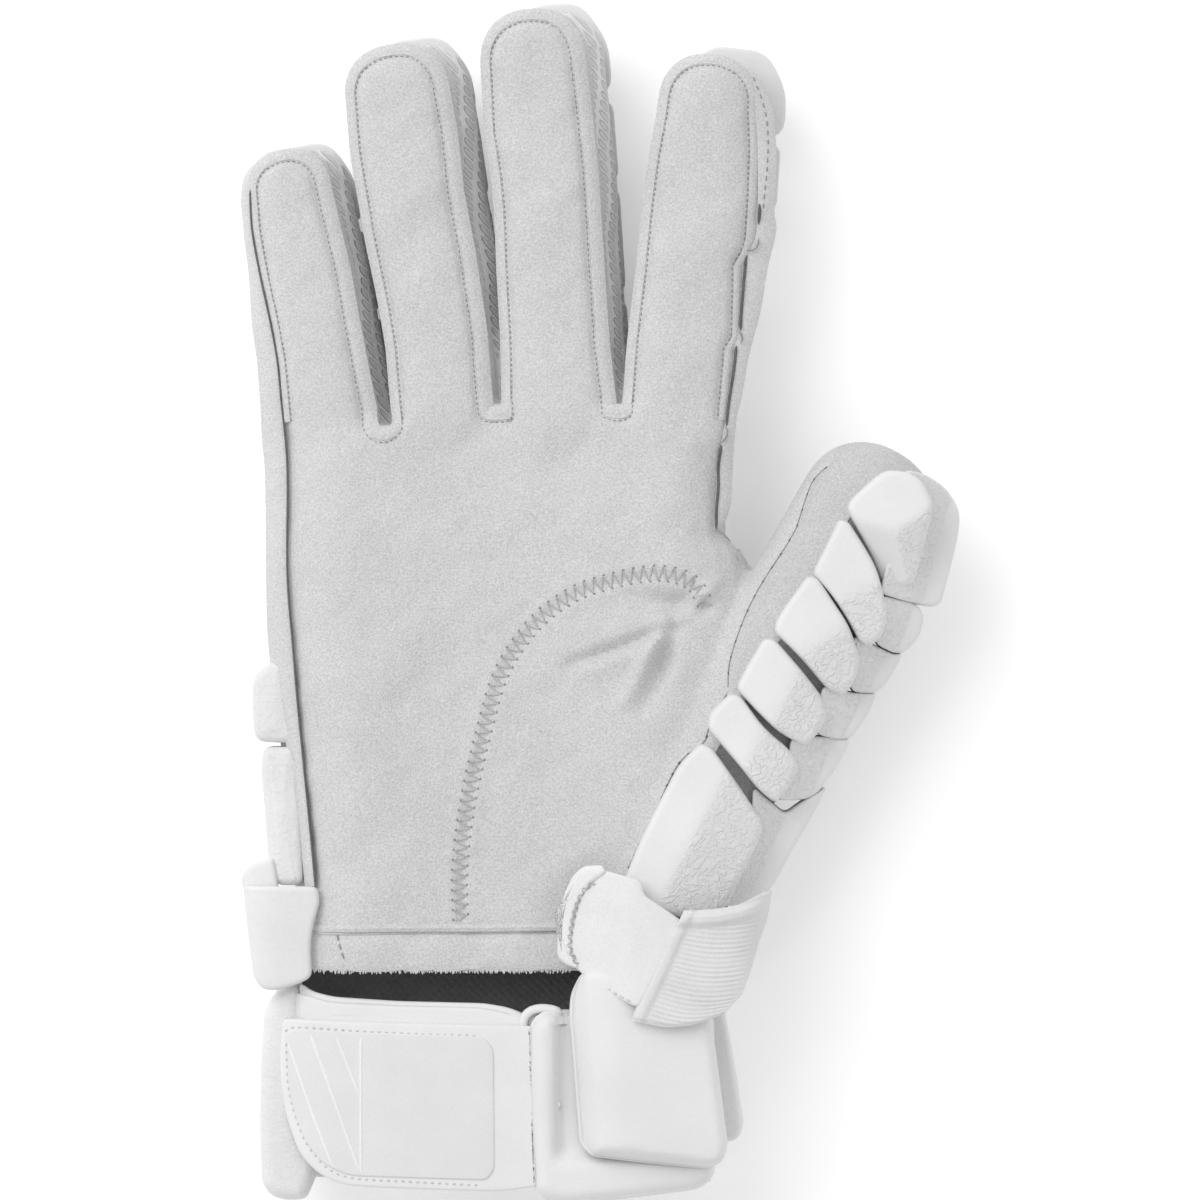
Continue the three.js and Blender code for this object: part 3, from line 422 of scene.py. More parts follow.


# %% Knit with round holes: two shifted rows of dimples, with painted shade inside them
def knit_material():
    material, tree, shader, mottle = base_material("knit_mesh", 0.72, 0.80, 0.95, 120, 1500, 0.5)
    split = add_node(tree, "ShaderNodeSeparateXYZ")
    tree.links.new(object_position(tree), split.inputs[0])
    round_tip = math_node(tree, "ADD", split.outputs[0], split.outputs[1])
    along = math_node(tree, "MULTIPLY", round_tip, 2 * math.pi / 0.0056)
    up = math_node(tree, "MULTIPLY", split.outputs[2], 2 * math.pi / 0.0076)
    holes = math_node(tree, "MULTIPLY", math_node(tree, "COSINE", along), math_node(tree, "COSINE", up))
    hole = add_node(tree, "ShaderNodeMapRange", interpolation_type="SMOOTHSTEP")
    hole.inputs["From Min"].default_value = 0.3
    hole.inputs["From Max"].default_value = 0.62
    tree.links.new(math_node(tree, "ABSOLUTE", holes), hole.inputs["Value"])
    # Painted shade: inside the holes the colour goes to a darker grey
    deep = add_node(tree, "ShaderNodeMix", data_type="RGBA")
    tree.links.new(hole.outputs[0], deep.inputs[0])
    tree.links.new(mottle.outputs[0], deep.inputs[6])
    deep.inputs[7].default_value = grey(0.64)
    tree.links.new(deep.outputs[2], shader.inputs["Base Color"])
    bump = add_node(tree, "ShaderNodeBump")
    bump.inputs["Distance"].default_value = 1
    bump.invert = True
    tree.links.new(math_node(tree, "MULTIPLY", hole.outputs[0], 0.0004), bump.inputs["Height"])
    tree.links.new(bump.outputs[0], shader.inputs["Normal"])
    return material


knit_mesh = knit_material()

# %% [markdown]
# ## Building by rolling a grid
# A glove finger, a pad and a strap are all sheets that close on themselves. So one builder serves for
# all: a grid primitive is rolled into a tube through a row of rings, its long edges are merged and
# its two ends closed. The rings say all about the shape.


# %% The roll, and the plan outlines that pads are made from
def rolled(name, rings, closed=True):
    deselect()
    around, along = len(rings[0]), len(rings)
    bpy.ops.mesh.primitive_grid_add(x_subdivisions=around, y_subdivisions=along - 1, size=1)
    made = bpy.context.object
    made.name = name
    for row, ring in enumerate(rings):
        for column in range(around + 1):
            made.data.vertices[row * (around + 1) + column].co = place(*ring[column % around])

    def close():
        bpy.ops.mesh.remove_doubles(threshold=1e-7)
        if closed:
            bpy.ops.mesh.select_all(action="DESELECT")
            bpy.ops.mesh.select_non_manifold()
            bpy.ops.mesh.edge_face_add() if along == 1 else bpy.ops.mesh.fill_holes(sides=0)
        bpy.ops.mesh.select_all(action="SELECT")
        bpy.ops.mesh.normals_make_consistent(inside=False)

    edit(made, close)
    return made


def patch(name, columns, rows, surface):
    """A grid whose point at shares (a, b) lies at surface(a, b)."""
    deselect()
    bpy.ops.mesh.primitive_grid_add(x_subdivisions=columns, y_subdivisions=rows, size=1)
    made = bpy.context.object
    made.name = name
    for row in range(rows + 1):
        for column in range(columns + 1):
            at = surface(column / columns, row / rows)
            made.data.vertices[row * (columns + 1) + column].co = place(*at)
    return made


def round_corners(outline, radius, steps=6, straight=3.0):
    """A plan outline with round corners, and points along its straight stretches."""
    count = len(outline)
    radii = radius if isinstance(radius, (list, tuple)) else [radius] * count
    ring = []
    for i, corner in enumerate(outline):
        at = Vector(corner)
        before = Vector(outline[i - 1]) - at
        after = Vector(outline[(i + 1) % count]) - at
        reach = min(radii[i], 0.45 * before.length, 0.45 * after.length)
        first = at + before.normalized() * reach
        last = at + after.normalized() * reach
        if ring:
            gap = first - ring[-1]
            extra = int(gap.length / straight)
            start = ring[-1].copy()
            ring += [start + gap * (k / (extra + 1)) for k in range(1, extra + 1)]
        for k in range(steps + 1):
            t = k / steps
            ring.append(first * (1 - t) ** 2 + at * 2 * t * (1 - t) + last * t * t)
    gap = ring[0] - ring[-1]
    extra = int(gap.length / straight)
    start = ring[-1].copy()
    ring += [start + gap * (k / (extra + 1)) for k in range(1, extra + 1)]
    return [(p.x, p.y) for p in ring]


CORNER_ROOM = 0.93


def ring_area(ring):
    return 0.5 * sum(a[0] * b[1] - b[0] * a[1] for a, b in zip(ring, ring[1:] + ring[:1]))


def inset(ring, by):
    """A plan ring moved inwards by a distance. Where a corner is too tight for that, its points would
    end up too near to the outline; they are spread between the last good point and the next one."""
    here = np.array(ring)
    after = np.roll(here, -1, axis=0)
    along = after - np.roll(here, 1, axis=0)
    along /= np.linalg.norm(along, axis=1)[:, None]
    side = 1 if ring_area(ring) > 0 else -1
    moved = here + side * by * np.stack([-along[:, 1], along[:, 0]], axis=1)
    if by <= 0:
        return [tuple(point) for point in moved]
    leg = after - here
    offset = moved[:, None, :] - here[None, :, :]
    t = np.clip((offset * leg).sum(axis=2) / np.maximum((leg ** 2).sum(axis=1), 1e-12), 0, 1)
    room = np.linalg.norm(offset - t[:, :, None] * leg[None, :, :], axis=2).min(axis=1)
    good = [i for i in range(len(ring)) if room[i] > CORNER_ROOM * by]
    for first, second in zip(good, good[1:] + [good[0] + len(ring)] if good else []):
        for i in range(first + 1, second):
            t = (i - first) / (second - first)
            moved[i % len(ring)] = (1 - t) * moved[first] + t * moved[second % len(ring)]
    return [tuple(point) for point in moved]


def towards(ring, centre, share):
    return [(lerp(x, centre[0], share), lerp(y, centre[1], share)) for x, y in ring]


def heart(ring, by):
    """The point farthest inside the lines of all sides of the ring moved inwards. Faces that fan out
    from it do not fold, even where the ring is bent."""
    here = np.array(inset(ring, by))
    leg = np.roll(here, -1, axis=0) - here
    length = np.maximum(np.linalg.norm(leg, axis=1), 1e-9)
    side = 1 if ring_area(ring) > 0 else -1
    inward = side * np.stack([-leg[:, 1], leg[:, 0]], axis=1) / length[:, None]
    steps = np.stack(np.meshgrid(np.linspace(-1, 1, 7), np.linspace(-1, 1, 7)), axis=-1).reshape(-1, 2)
    best = here.mean(axis=0)
    reach = 0.5 * (here.max(axis=0) - here.min(axis=0))
    for _ in range(24):
        tries = best + steps * reach
        depth = ((tries[:, None, :] - here[None, :, :]) * inward).sum(axis=2).min(axis=1)
        best = tries[depth.argmax()]
        reach = reach * 0.75
    return best


def cushion(name, ring, top, bottom, edge, base_edge=0.8, crown=0.0, belly=0.0, inner_rings=7):
    """A pad over a plan ring. top and bottom give heights, edge is the radius of the upper rim, crown
    how far the middle rises, belly how far the sides swell."""
    low_centre = heart(ring, base_edge)
    high_centre = heart(ring, edge)
    levels = []
    for k in range(inner_rings, 0, -1):
        levels.append(("low", base_edge, k / inner_rings))
    for k in range(3):
        turn = math.radians(90 * k / 3)
        levels.append(("low rim", base_edge, turn))
    for k in (0.15, 0.5, 0.85):
        levels.append(("side", 0, k))
    for k in range(1, 6):
        turn = math.radians(90 * k / 5)
        levels.append(("high rim", edge, turn))
    for k in range(1, inner_rings + 1):
        levels.append(("high", edge, k / inner_rings))
    rings = []
    for kind, radius, t in levels:
        if kind == "low":
            plan = towards(inset(ring, radius), low_centre, t)
            rings.append([(x, y, bottom(x, y)) for x, y in plan])
        elif kind == "low rim":
            plan = inset(ring, radius * (1 - math.sin(t)))
            rings.append([(x, y, bottom(x, y) + radius * (1 - math.cos(t))) for x, y in plan])
        elif kind == "side":
            plan = inset(ring, -belly * math.sin(math.pi * t))
            rings.append([
                (x, y, lerp(bottom(x, y) + base_edge, top(x, y) - edge, t)) for x, y in plan
            ])
        elif kind == "high rim":
            plan = inset(ring, radius * (1 - math.cos(t)))
            rings.append([(x, y, top(x, y) - radius * (1 - math.sin(t))) for x, y in plan])
        else:
            plan = towards(inset(ring, radius), high_centre, t)
            rise = crown * (1 - (1 - t) ** 2)
            rings.append([(x, y, top(x, y) + rise) for x, y in plan])
    return rolled(name, rings, closed=False)


# %% [markdown]
# ## Finishing a piece
# Every piece rides on the one body of this part and stands for the nodes that it replaces, which are
# hidden.


# %% Finishing pieces
def face_normals(obj):
    normals = np.zeros(len(obj.data.polygons) * 3)
    obj.data.polygons.foreach_get("normal", normals)
    return normals.reshape(-1, 3)


def paint_pebble(obj, rule, by_place=None):
    """Stores 0 to 1 on each face corner: where moulded leather is crinkled."""
    attribute = obj.data.attributes.new("pebble", "FLOAT", "CORNER")
    normals = face_normals(obj)
    values = np.zeros(len(obj.data.loops))
    for face, normal in zip(obj.data.polygons, normals):
        values[face.loop_start:face.loop_start + face.loop_total] = rule(normal)
        if by_place and normal[2] > 0.3:
            for corner, vertex in zip(face.loop_indices, face.vertices):
                co = obj.data.vertices[vertex].co
                values[corner] = by_place((co.x - GLOVE_X) / MM, (co.y - GLOVE_Y) / MM)
    attribute.data.foreach_set("value", values)


def finish_piece(obj, name, material, slot, nodes=(), angle=38):
    """material is None where the piece has its materials already."""
    obj.name = name
    if material:
        obj.data.materials.clear()
        obj.data.materials.append(material)
        for face in obj.data.polygons:
            face.material_index = 0
    smooth(obj, angle)
    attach(obj, "root")
    if nodes:
        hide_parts(*nodes)
    print(name, triangles(obj), "triangles")
    return obj


def finish_pad(obj, name, nodes, material=None, slot="pad", rule=None, angle=38, by_place=None):
    paint_pebble(obj, rule or (lambda normal: 0.0), by_place)
    finish_piece(obj, name, material or pad_leather, slot, nodes, angle)
    return obj


def cloth_area(obj):
    return sum(face.area for face in obj.data.polygons)


# %% [markdown]
# ## The hand, as one form
# A real glove is sewn from flat cuts and takes its form from the hand and the foam. Its front bulges a
# little, its knit sides lean out beyond the fronts, and the fingers curl up slightly. Each finger,
# the palm and the thumb are rolled from sections; the voxel remesh then welds them to one skin, with
# soft webs between the fingers. Later that skin is cut along its real seams.

# %% Sizes of the hand
LINER_Z = 14.3
SIDE_DEPTH = 19
SEAM_Z = LINER_Z + SIDE_DEPTH
PALM_LENGTH = 150
PALM_CROWN = 9
FINGER_CROWN = 7
FINGER_SPACING = 1.8
FINGER_CURL = 9
CROTCH_RISE = 6
PINKY_FLARE = 5.8
PINKY_TIP_FLARE = 2.4
INDEX_FLARE = 2
ROOT_OVERLAP = 24
WALL = 1.6

FINGERS = [
    dict(name="pinky", length=77, root=27, mid=25.4, tip=23.4, lean=9.3, gusset=5.4),
    dict(name="ring", length=105.4, root=29, mid=30.2, tip=28.4, lean=7.1, gusset=6.6),
    dict(name="middle", length=114.5, root=32, mid=30.6, tip=30.4, lean=3.4, gusset=5.5),
    dict(name="index", length=102.5, root=28.5, mid=32.2, tip=28.6, lean=-6.2, gusset=INDEX_FLARE),
]
FINGER_EDGES = dict(
    pinky=([(249, 187), (252, 230), (260, 275), (270, 321), (277, 360), (281, 402), (283, 425)],
           [(331, 178), (342, 226), (352, 268), (362, 325), (373, 383), (381, 421)]),
    ring=([(346, 100), (350, 153), (358, 199), (365, 241), (377, 298), (385, 344), (390, 402)],
          [(451, 90), (459, 134), (465, 191), (476, 249), (488, 329), (492, 383), (494, 402)]),
    middle=([(480, 60), (484, 134), (490, 172), (494, 214), (496, 268), (500, 344), (501, 402)],
            [(586, 60), (591, 96), (599, 172), (605, 268), (610, 344), (617, 402)]),
    index=([(656, 112), (647, 161), (641, 207), (635, 268), (629, 318), (626, 344), (622, 398)],
           [(756, 100), (758, 153), (756, 199), (753, 250), (742, 258), (740, 337), (733, 346),
            (726, 425)]),
)
KNUCKLE_HALF = (sum(f["root"] for f in FINGERS) + FINGER_SPACING * (len(FINGERS) - 1)) / 2
LONGEST = FINGERS[2]["length"]

edge_x = -KNUCKLE_HALF
for number, finger in enumerate(FINGERS):
    finger["x"] = edge_x + finger["root"] / 2
    edge_x += finger["root"] + FINGER_SPACING
    finger["flare"] = PINKY_FLARE if number == 0 else -FINGERS[number - 1]["gusset"]
    finger["tip_flare"] = PINKY_TIP_FLARE if number == 0 else finger["flare"]
print("knuckles", round(2 * KNUCKLE_HALF, 1), "mm wide")


def lift(y):
    """How far the curled fingers rise above the back of the hand."""
    beyond = clamp((y - PALM_LENGTH) / LONGEST, 0, 2)
    return FINGER_CURL * beyond * beyond


def on_finger(finger, s, u):
    turn = math.radians(finger["lean"])
    return (
        finger["x"] - s * math.sin(turn) + u * math.cos(turn),
        PALM_LENGTH + s * math.cos(turn) + u * math.sin(turn),
    )


def finger_shares(finger, x, y):
    """Along and across the finger, for a point of the plan."""
    turn = math.radians(finger["lean"])
    dx, dy = x - finger["x"], y - PALM_LENGTH
    return -dx * math.sin(turn) + dy * math.cos(turn), dx * math.cos(turn) + dy * math.sin(turn)


# %% Sections: across, rise over the seam or depth under it, and lean of the knit side
PALM_SECTION = [
    (0, 0.62, 0), (0.3, 0.72, 0), (0.58, 0.95, 0), (0.8, 0.93, 0), (0.93, 0.6, 0),
    (1, 0.06, 0), (1, -0.3, 1), (0.98, -0.8, 1), (0.92, -1, 1),
]
FINGER_SECTION = [
    (0, 1, 0), (0.3, 0.97, 0), (0.6, 0.84, 0), (0.85, 0.55, 0), (0.97, 0.25, 0),
    (1, 0.0, 0.1), (1, -0.35, 1), (0.96, -0.8, 1), (0.76, -1, 1),
]
PALM_STATIONS = [
    (0, 0.87, 0.95, 1), (0.13, 0.855, 0.99, 1), (0.31, 0.9, 1.04, 1), (0.49, 0.946, 1.08, 1),
    (0.68, 0.978, 1.1, 1), (0.765, 0.98, 1.06, 0.97), (0.8, 0.98, 0.975, 0.95),
    (0.91, 0.98, 0.965, 0.85), (1, 1, 1, 0.78),
]
RING_POINTS = 56


def through(points, count):
    """Points evenly spaced along a smooth closed line through a few points."""
    fine = []
    total = len(points)
    for i in range(total):
        a, b, c, d = (Vector(points[(i + k) % total]) for k in (-1, 0, 1, 2))
        reach = (c - b).length
        leave = ((b - a).normalized() + (c - b).normalized()).normalized() * reach
        arrive = ((c - b).normalized() + (d - c).normalized()).normalized() * reach
        for k in range(8):
            t = k / 8
            fine.append(
                b * (2 * t ** 3 - 3 * t * t + 1) + leave * (t ** 3 - 2 * t * t + t)
                + c * (3 * t * t - 2 * t ** 3) + arrive * (t ** 3 - t * t)
            )
    return spaced(fine, count)


def spaced(fine, count):
    """A closed line measured off into a number of equal steps."""
    lengths = [0.0]
    loop = fine + [fine[0]]
    for a, b in zip(loop, loop[1:]):
        lengths.append(lengths[-1] + (b - a).length)
    result = []
    at = 0
    for k in range(count):
        want = lengths[-1] * k / count
        while lengths[at + 1] < want:
            at += 1
        t = (want - lengths[at]) / max(lengths[at + 1] - lengths[at], 1e-9)
        result.append(loop[at].lerp(loop[at + 1], t))
    return result


def section_ring(rows, left, right, left_lean, right_lean, crown):
    def point(row, side):
        across, rise, lean = row
        half = right if side > 0 else left
        height = rise * (crown if rise > 0 else SIDE_DEPTH)
        flare = right_lean if side > 0 else left_lean
        return (side * (across * half + lean * flare), height)

    whole = [point(row, 1) for row in rows] + [point(row, -1) for row in reversed(rows[1:])]
    lowest = min(height for across, height in whole)
    return [Vector((p.x, max(p.y, lowest))) for p in through(whole, RING_POINTS)]


# %% The palm
def palm_at(up, column):
    rows = [(row[0], row[column]) for row in PALM_STATIONS]
    return curve_value(rows, up)


def palm_rings():
    rings = []
    steps = 40
    for k in range(steps + 1):
        up = k / steps
        ring = section_ring(
            PALM_SECTION, palm_at(up, 1) * KNUCKLE_HALF, palm_at(up, 2) * KNUCKLE_HALF,
            PINKY_FLARE, INDEX_FLARE, palm_at(up, 3) * PALM_CROWN,
        )
        rise = smoothstep(0.9, 1, up) * CROTCH_RISE
        rings.append([
            (p.x, up * PALM_LENGTH + rise * clamp(p.x / (KNUCKLE_HALF / 2) + 1), SEAM_Z + p.y)
            for p in ring
        ])
    return rings


# %% A finger: straight sides, then a round tip
TIP_POWER = 2.3
TIP_STEPS = [1, 0.85, 0.7, 0.56, 0.43, 0.31, 0.21, 0.13, 0.07, 0.03, 0.008]


for finger in FINGERS:
    finger["edges"] = [
        sorted((s, u) for s, u in (finger_shares(finger, *photo(*pixel)) for pixel in side))
        for side in FINGER_EDGES[finger["name"]]
    ]


def finger_edges(finger, s):
    """Left and right edge of a finger's front, across the finger, at s along it."""
    return tuple(curve_value(rows, s) for rows in finger["edges"])


def finger_round(finger):
    """Where the round tip starts, its middle across the finger, and its half width."""
    start = finger["length"] - finger["tip"] / 2
    left, right = finger_edges(finger, start)
    return start, (left + right) / 2, (right - left) / 2


def finger_rings(finger):
    length = finger["length"]
    start, middle, half = finger_round(finger)
    stations = []
    steps = 30
    for k in range(steps):
        s = lerp(-ROOT_OVERLAP, start, k / steps)
        low = 0.42 + 0.58 * smoothstep(-ROOT_OVERLAP, 6, s)
        left, right = finger_edges(finger, s)
        stations.append((s, left + 0.3, right - 0.3, low - 0.05 * smoothstep(0.5 * length, length, s)))
    for step in TIP_STEPS:
        narrow = (1 - (1 - step) ** TIP_POWER) ** (1 / TIP_POWER)
        keep = 0.45 + 0.5 * math.sqrt(1 - (1 - step) ** 2)
        s = length - step * (length - start)
        stations.append((s, middle - half * narrow, middle + half * narrow, keep))
    rings = []
    for s, left, right, keep in stations:
        flare = lerp(finger["flare"], finger["tip_flare"], clamp(s / length))
        middle_u, half_u = (left + right) / 2, (right - left) / 2
        ring = section_ring(FINGER_SECTION, half_u, half_u, flare, finger["gusset"], FINGER_CROWN)
        ring = [Vector((p.x + middle_u, p.y)) for p in ring]
        placed = []
        for p in ring:
            x, y = on_finger(finger, s, p.x)
            placed.append((x, y, SEAM_Z + lift(y) + p.y * keep))
        rings.append(placed)
    return rings


# %% The thumb leans out of the palm
THUMB_ACROSS = 38.3
THUMB_UP = 19.6
THUMB_LENGTH = 141.7
THUMB_LEAN = math.radians(29.7)
THUMB_HALF_WIDTH = 18.8
THUMB_ROOT_HALF_WIDTH = 16
THUMB_HALF_DEPTH = 14.5
THUMB_ROOT_HEIGHT = 29.5
THUMB_TIP_RISE = 3.5
THUMB_TIP_ROUND = 18
THUMB_ROUNDNESS = 2.5
THUMB_POINTS = 44


def on_thumb(u, v):
    """A point of the plan: v along the thumb from its tip, u across it outwards."""
    s = THUMB_LENGTH - v
    return (
        THUMB_ACROSS + s * math.sin(THUMB_LEAN) + u * math.cos(THUMB_LEAN),
        THUMB_UP + s * math.cos(THUMB_LEAN) - u * math.sin(THUMB_LEAN),
    )


def thumb_shares(x, y):
    dx, dy = x - THUMB_ACROSS, y - THUMB_UP
    along = dx * math.sin(THUMB_LEAN) + dy * math.cos(THUMB_LEAN)
    return dx * math.cos(THUMB_LEAN) - dy * math.sin(THUMB_LEAN), THUMB_LENGTH - along


def thumb_height(v):
    return THUMB_ROOT_HEIGHT + THUMB_TIP_RISE * (1 - v / THUMB_LENGTH)


def power(value, exponent):
    return math.copysign(abs(value) ** exponent, value)


def oblong(half_width, half_height, points, roundness):
    ring = []
    for i in range(points):
        angle = 2 * math.pi * (i + 0.5) / points
        ring.append((
            half_width * power(math.cos(angle), 2 / roundness),
            half_height * power(math.sin(angle), 2 / roundness),
        ))
    return ring


def thumb_rings():
    stations = []
    for step in reversed(TIP_STEPS):
        half = THUMB_HALF_WIDTH * (1 - (1 - step) ** 2.2) ** (1 / 2.2)
        stations.append((step * THUMB_TIP_ROUND, half, 0.4 + 0.6 * math.sqrt(1 - (1 - step) ** 2)))
    for share in (0.22, 0.35, 0.5, 0.65, 0.8, 0.9, 1):
        root = smoothstep(0.72, 1, share)
        half = lerp(THUMB_HALF_WIDTH, THUMB_ROOT_HALF_WIDTH, root)
        stations.append((share * THUMB_LENGTH, half, 1 - 0.05 * root))
    rings = []
    for v, half, keep in stations:
        ring = oblong(half, THUMB_HALF_DEPTH * keep, THUMB_POINTS, THUMB_ROUNDNESS)
        rings.append([(*on_thumb(u, v), thumb_height(v) + h) for u, h in ring])
    return rings


# %% Weld them to one skin
VOXEL = 1.15 * MM

bodies = [rolled("palm form", palm_rings()), rolled("thumb form", thumb_rings())]
bodies += [rolled(f"{finger['name']} form", finger_rings(finger)) for finger in FINGERS]
skin = join("hand skin", bodies)
modify(skin, "REMESH", mode="VOXEL", voxel_size=VOXEL)
modify(skin, "SMOOTH", factor=0.5, iterations=6)
print("hand skin", triangles(skin), "triangles")

# %% [markdown]
# ## Lines on the hand
# The fronts of the fingers are sewn to the knit sides with an open seam: a narrow border lies flat
# outside a row of backstitches. That row is one long line that runs up and down every finger. A
# second seam, a wide zigzag, joins the thumb's suede to the palm. Both lines are worked out in plan
# here; the skin is then pressed in along them.

# %% The row of stitches round the fingers
STITCH_INSETS = dict(
    pinky=(2.6, 3.6, 4.4), ring=(3.1, 3.7, 4.6), middle=(3.1, 3.7, 4.4), index=(3.1, 3.4, 2.7),
)
PALM_STITCH_DROP = 4.6


def finger_line(finger, insets):
    """Up the left side, round the tip and down the right side, at an inset from each."""
    start, middle, half = finger_round(finger)
    steps = 22
    left = [lerp(3, start, k / steps) for k in range(steps)]
    points = [on_finger(finger, s, finger_edges(finger, s)[0] + insets[0]) for s in left]
    reach = finger["length"] - start - insets[1]
    for k in range(25):
        angle = math.pi * k / 24
        across = half - (insets[0] if k <= 12 else insets[2])
        u = middle - across * power(math.cos(angle), 2 / TIP_POWER)
        s = start + reach * power(math.sin(angle), 2 / TIP_POWER)
        points.append(on_finger(finger, s, u))
    points += [on_finger(finger, s, finger_edges(finger, s)[1] - insets[2]) for s in reversed(left)]
    return points


def stitch_line(share=1.0, drop=PALM_STITCH_DROP):
    """The line of stitches; smaller shares give lines nearer to the edge of the fronts."""
    line = []
    for finger in FINGERS:
        insets = [share * inset_by for inset_by in STITCH_INSETS[finger["name"]]]
        points = finger_line(finger, insets)
        if line:
            start, end = line[-1], points[0]
            middle_x = (start[0] + end[0]) / 2
            rise = CROTCH_RISE * clamp(middle_x / (KNUCKLE_HALF / 2) + 1)
            bottom = PALM_LENGTH + rise - drop
            half = (end[0] - start[0]) / 2
            for k in range(1, 12):
                angle = math.pi * k / 12
                top = lerp(start[1], end[1], k / 12)
                line.append((
                    middle_x - half * math.cos(angle),
                    top - (top - bottom) * math.sin(angle) ** 0.7,
                ))
        line += points
    return line


# %% The zigzag seam, as shares of half the knuckles' width and of the palm's length
ZIGZAG = [
    (-0.194, 0.094), (-0.2, 0.185), (-0.163, 0.31), (-0.086, 0.448), (-0.005, 0.553), (0.14, 0.638),
    (0.321, 0.693), (0.525, 0.72), (0.706, 0.73), (0.842, 0.715), (0.9, 0.68), (0.915, 0.66),
]


def open_line(points, step):
    """Evenly spaced points along a smooth line through a few points."""
    fine = []
    for i in range(len(points) - 1):
        a, b, c, d = (
            Vector(points[min(max(i + k, 0), len(points) - 1)]) for k in (-1, 0, 1, 2)
        )
        for k in range(12):
            t = k / 12
            fine.append(0.5 * (
                2 * b + (c - a) * t + (2 * a - 5 * b + 4 * c - d) * t * t
                + (3 * b - a - 3 * c + d) * t ** 3
            ))
    fine.append(Vector(points[-1]))
    lengths = [0.0]
    for a, b in zip(fine, fine[1:]):
        lengths.append(lengths[-1] + (b - a).length)
    count = max(2, int(lengths[-1] / step))
    result, at = [], 0
    for k in range(count + 1):
        want = lengths[-1] * k / count
        while at < len(fine) - 2 and lengths[at + 1] < want:
            at += 1
        t = (want - lengths[at]) / max(lengths[at + 1] - lengths[at], 1e-9)
        result.append(fine[at].lerp(fine[at + 1], clamp(t)))
    return result


BINDING_EDGE = [
    (826, 466), (820, 471), (812, 480), (806, 494), (800, 512), (795, 527), (786, 543), (775, 560),
    (764, 577), (752, 598), (742, 620), (733, 645), (728, 665), (727, 686),
]
LEFT_SEAM = [
    (250, 190), (252, 230), (260, 275), (270, 321), (277, 360), (281, 402), (285, 440), (287, 478),
    (287, 574), (292, 640), (297, 700), (303, 760), (309, 820), (315, 884),
]
binding_line = open_line(traced(BINDING_EDGE), 0.5)
left_seam = open_line(traced(LEFT_SEAM), 0.5)
zigzag_line = open_line([(a * KNUCKLE_HALF, b * PALM_LENGTH) for a, b in ZIGZAG], 0.5)
finger_stitches = open_line(stitch_line(), 0.5)
print("stitch line", len(finger_stitches) * 0.5, "mm, zigzag", len(zigzag_line) * 0.5, "mm")


# %% Press the lines into the skin
def plan_arrays(obj):
    points = np.zeros(len(obj.data.vertices) * 3)
    obj.data.vertices.foreach_get("co", points)
    points = points.reshape(-1, 3)
    normals = np.zeros(len(obj.data.vertices) * 3)
    obj.data.vertices.foreach_get("normal", normals)
    plan = (points - np.array((GLOVE_X, GLOVE_Y, 0))) / MM
    return points, normals.reshape(-1, 3), plan


def line_distance(plan, line, reach):
    """Plan distance from each point to a line, up to a reach."""
    tree = KDTree(len(line))
    for i, p in enumerate(line):
        tree.insert((p[0], p[1], 0), i)
    tree.balance()
    low = np.min([tuple(p)[:2] for p in line], axis=0) - reach
    high = np.max([tuple(p)[:2] for p in line], axis=0) + reach
    near = np.all((plan[:, :2] > low) & (plan[:, :2] < high), axis=1)
    found = np.full(len(plan), float(reach))
    for i in np.nonzero(near)[0]:
        distance = tree.find((plan[i, 0], plan[i, 1], 0))[2]
        found[i] = min(reach, distance)
    return found


def segment_distance(plan, start, end):
    a, b = np.array(start), np.array(end)
    along = b - a
    t = np.clip(((plan[:, :2] - a) @ along) / (along @ along), 0, 1)
    nearest = a + t[:, None] * along
    return np.linalg.norm(plan[:, :2] - nearest, axis=1), t


# %% [markdown]
# The suede is loose in the fold between the palm and the thumb. The photograph shows three long
# creases that fan out from there, and slow swells elsewhere. Each crease is a line with a depth and
# a width: a hollow, with a swell beside it.

# %% Creases of the palm: both ends in pixels of the photograph, depth and width in millimetres
CREASES = [
    ((568, 664), (674, 624), 2.8, 1.6),
    ((576, 672), (668, 640), -0.9, 2.6),
    ((646, 704), (679, 614), 3.8, 2.5),
    ((622, 704), (666, 620), -2.4, 2.3),
    ((640, 598), (712, 606), 3.4, 2.8),
    ((664, 632), (716, 580), -2.0, 2.0),
    ((668, 770), (712, 652), 0.9, 6.0),
    ((284, 933), (620, 931), 1.1, 1.5),
    ((330, 860), (322, 640), 0.9, 5.0),
    ((430, 500), (520, 470), 0.7, 8.0),
    ((640, 470), (700, 455), 0.7, 6.0),
]
NOISE_SWELLS = [(0.021, 0.55), (0.055, 0.22)]


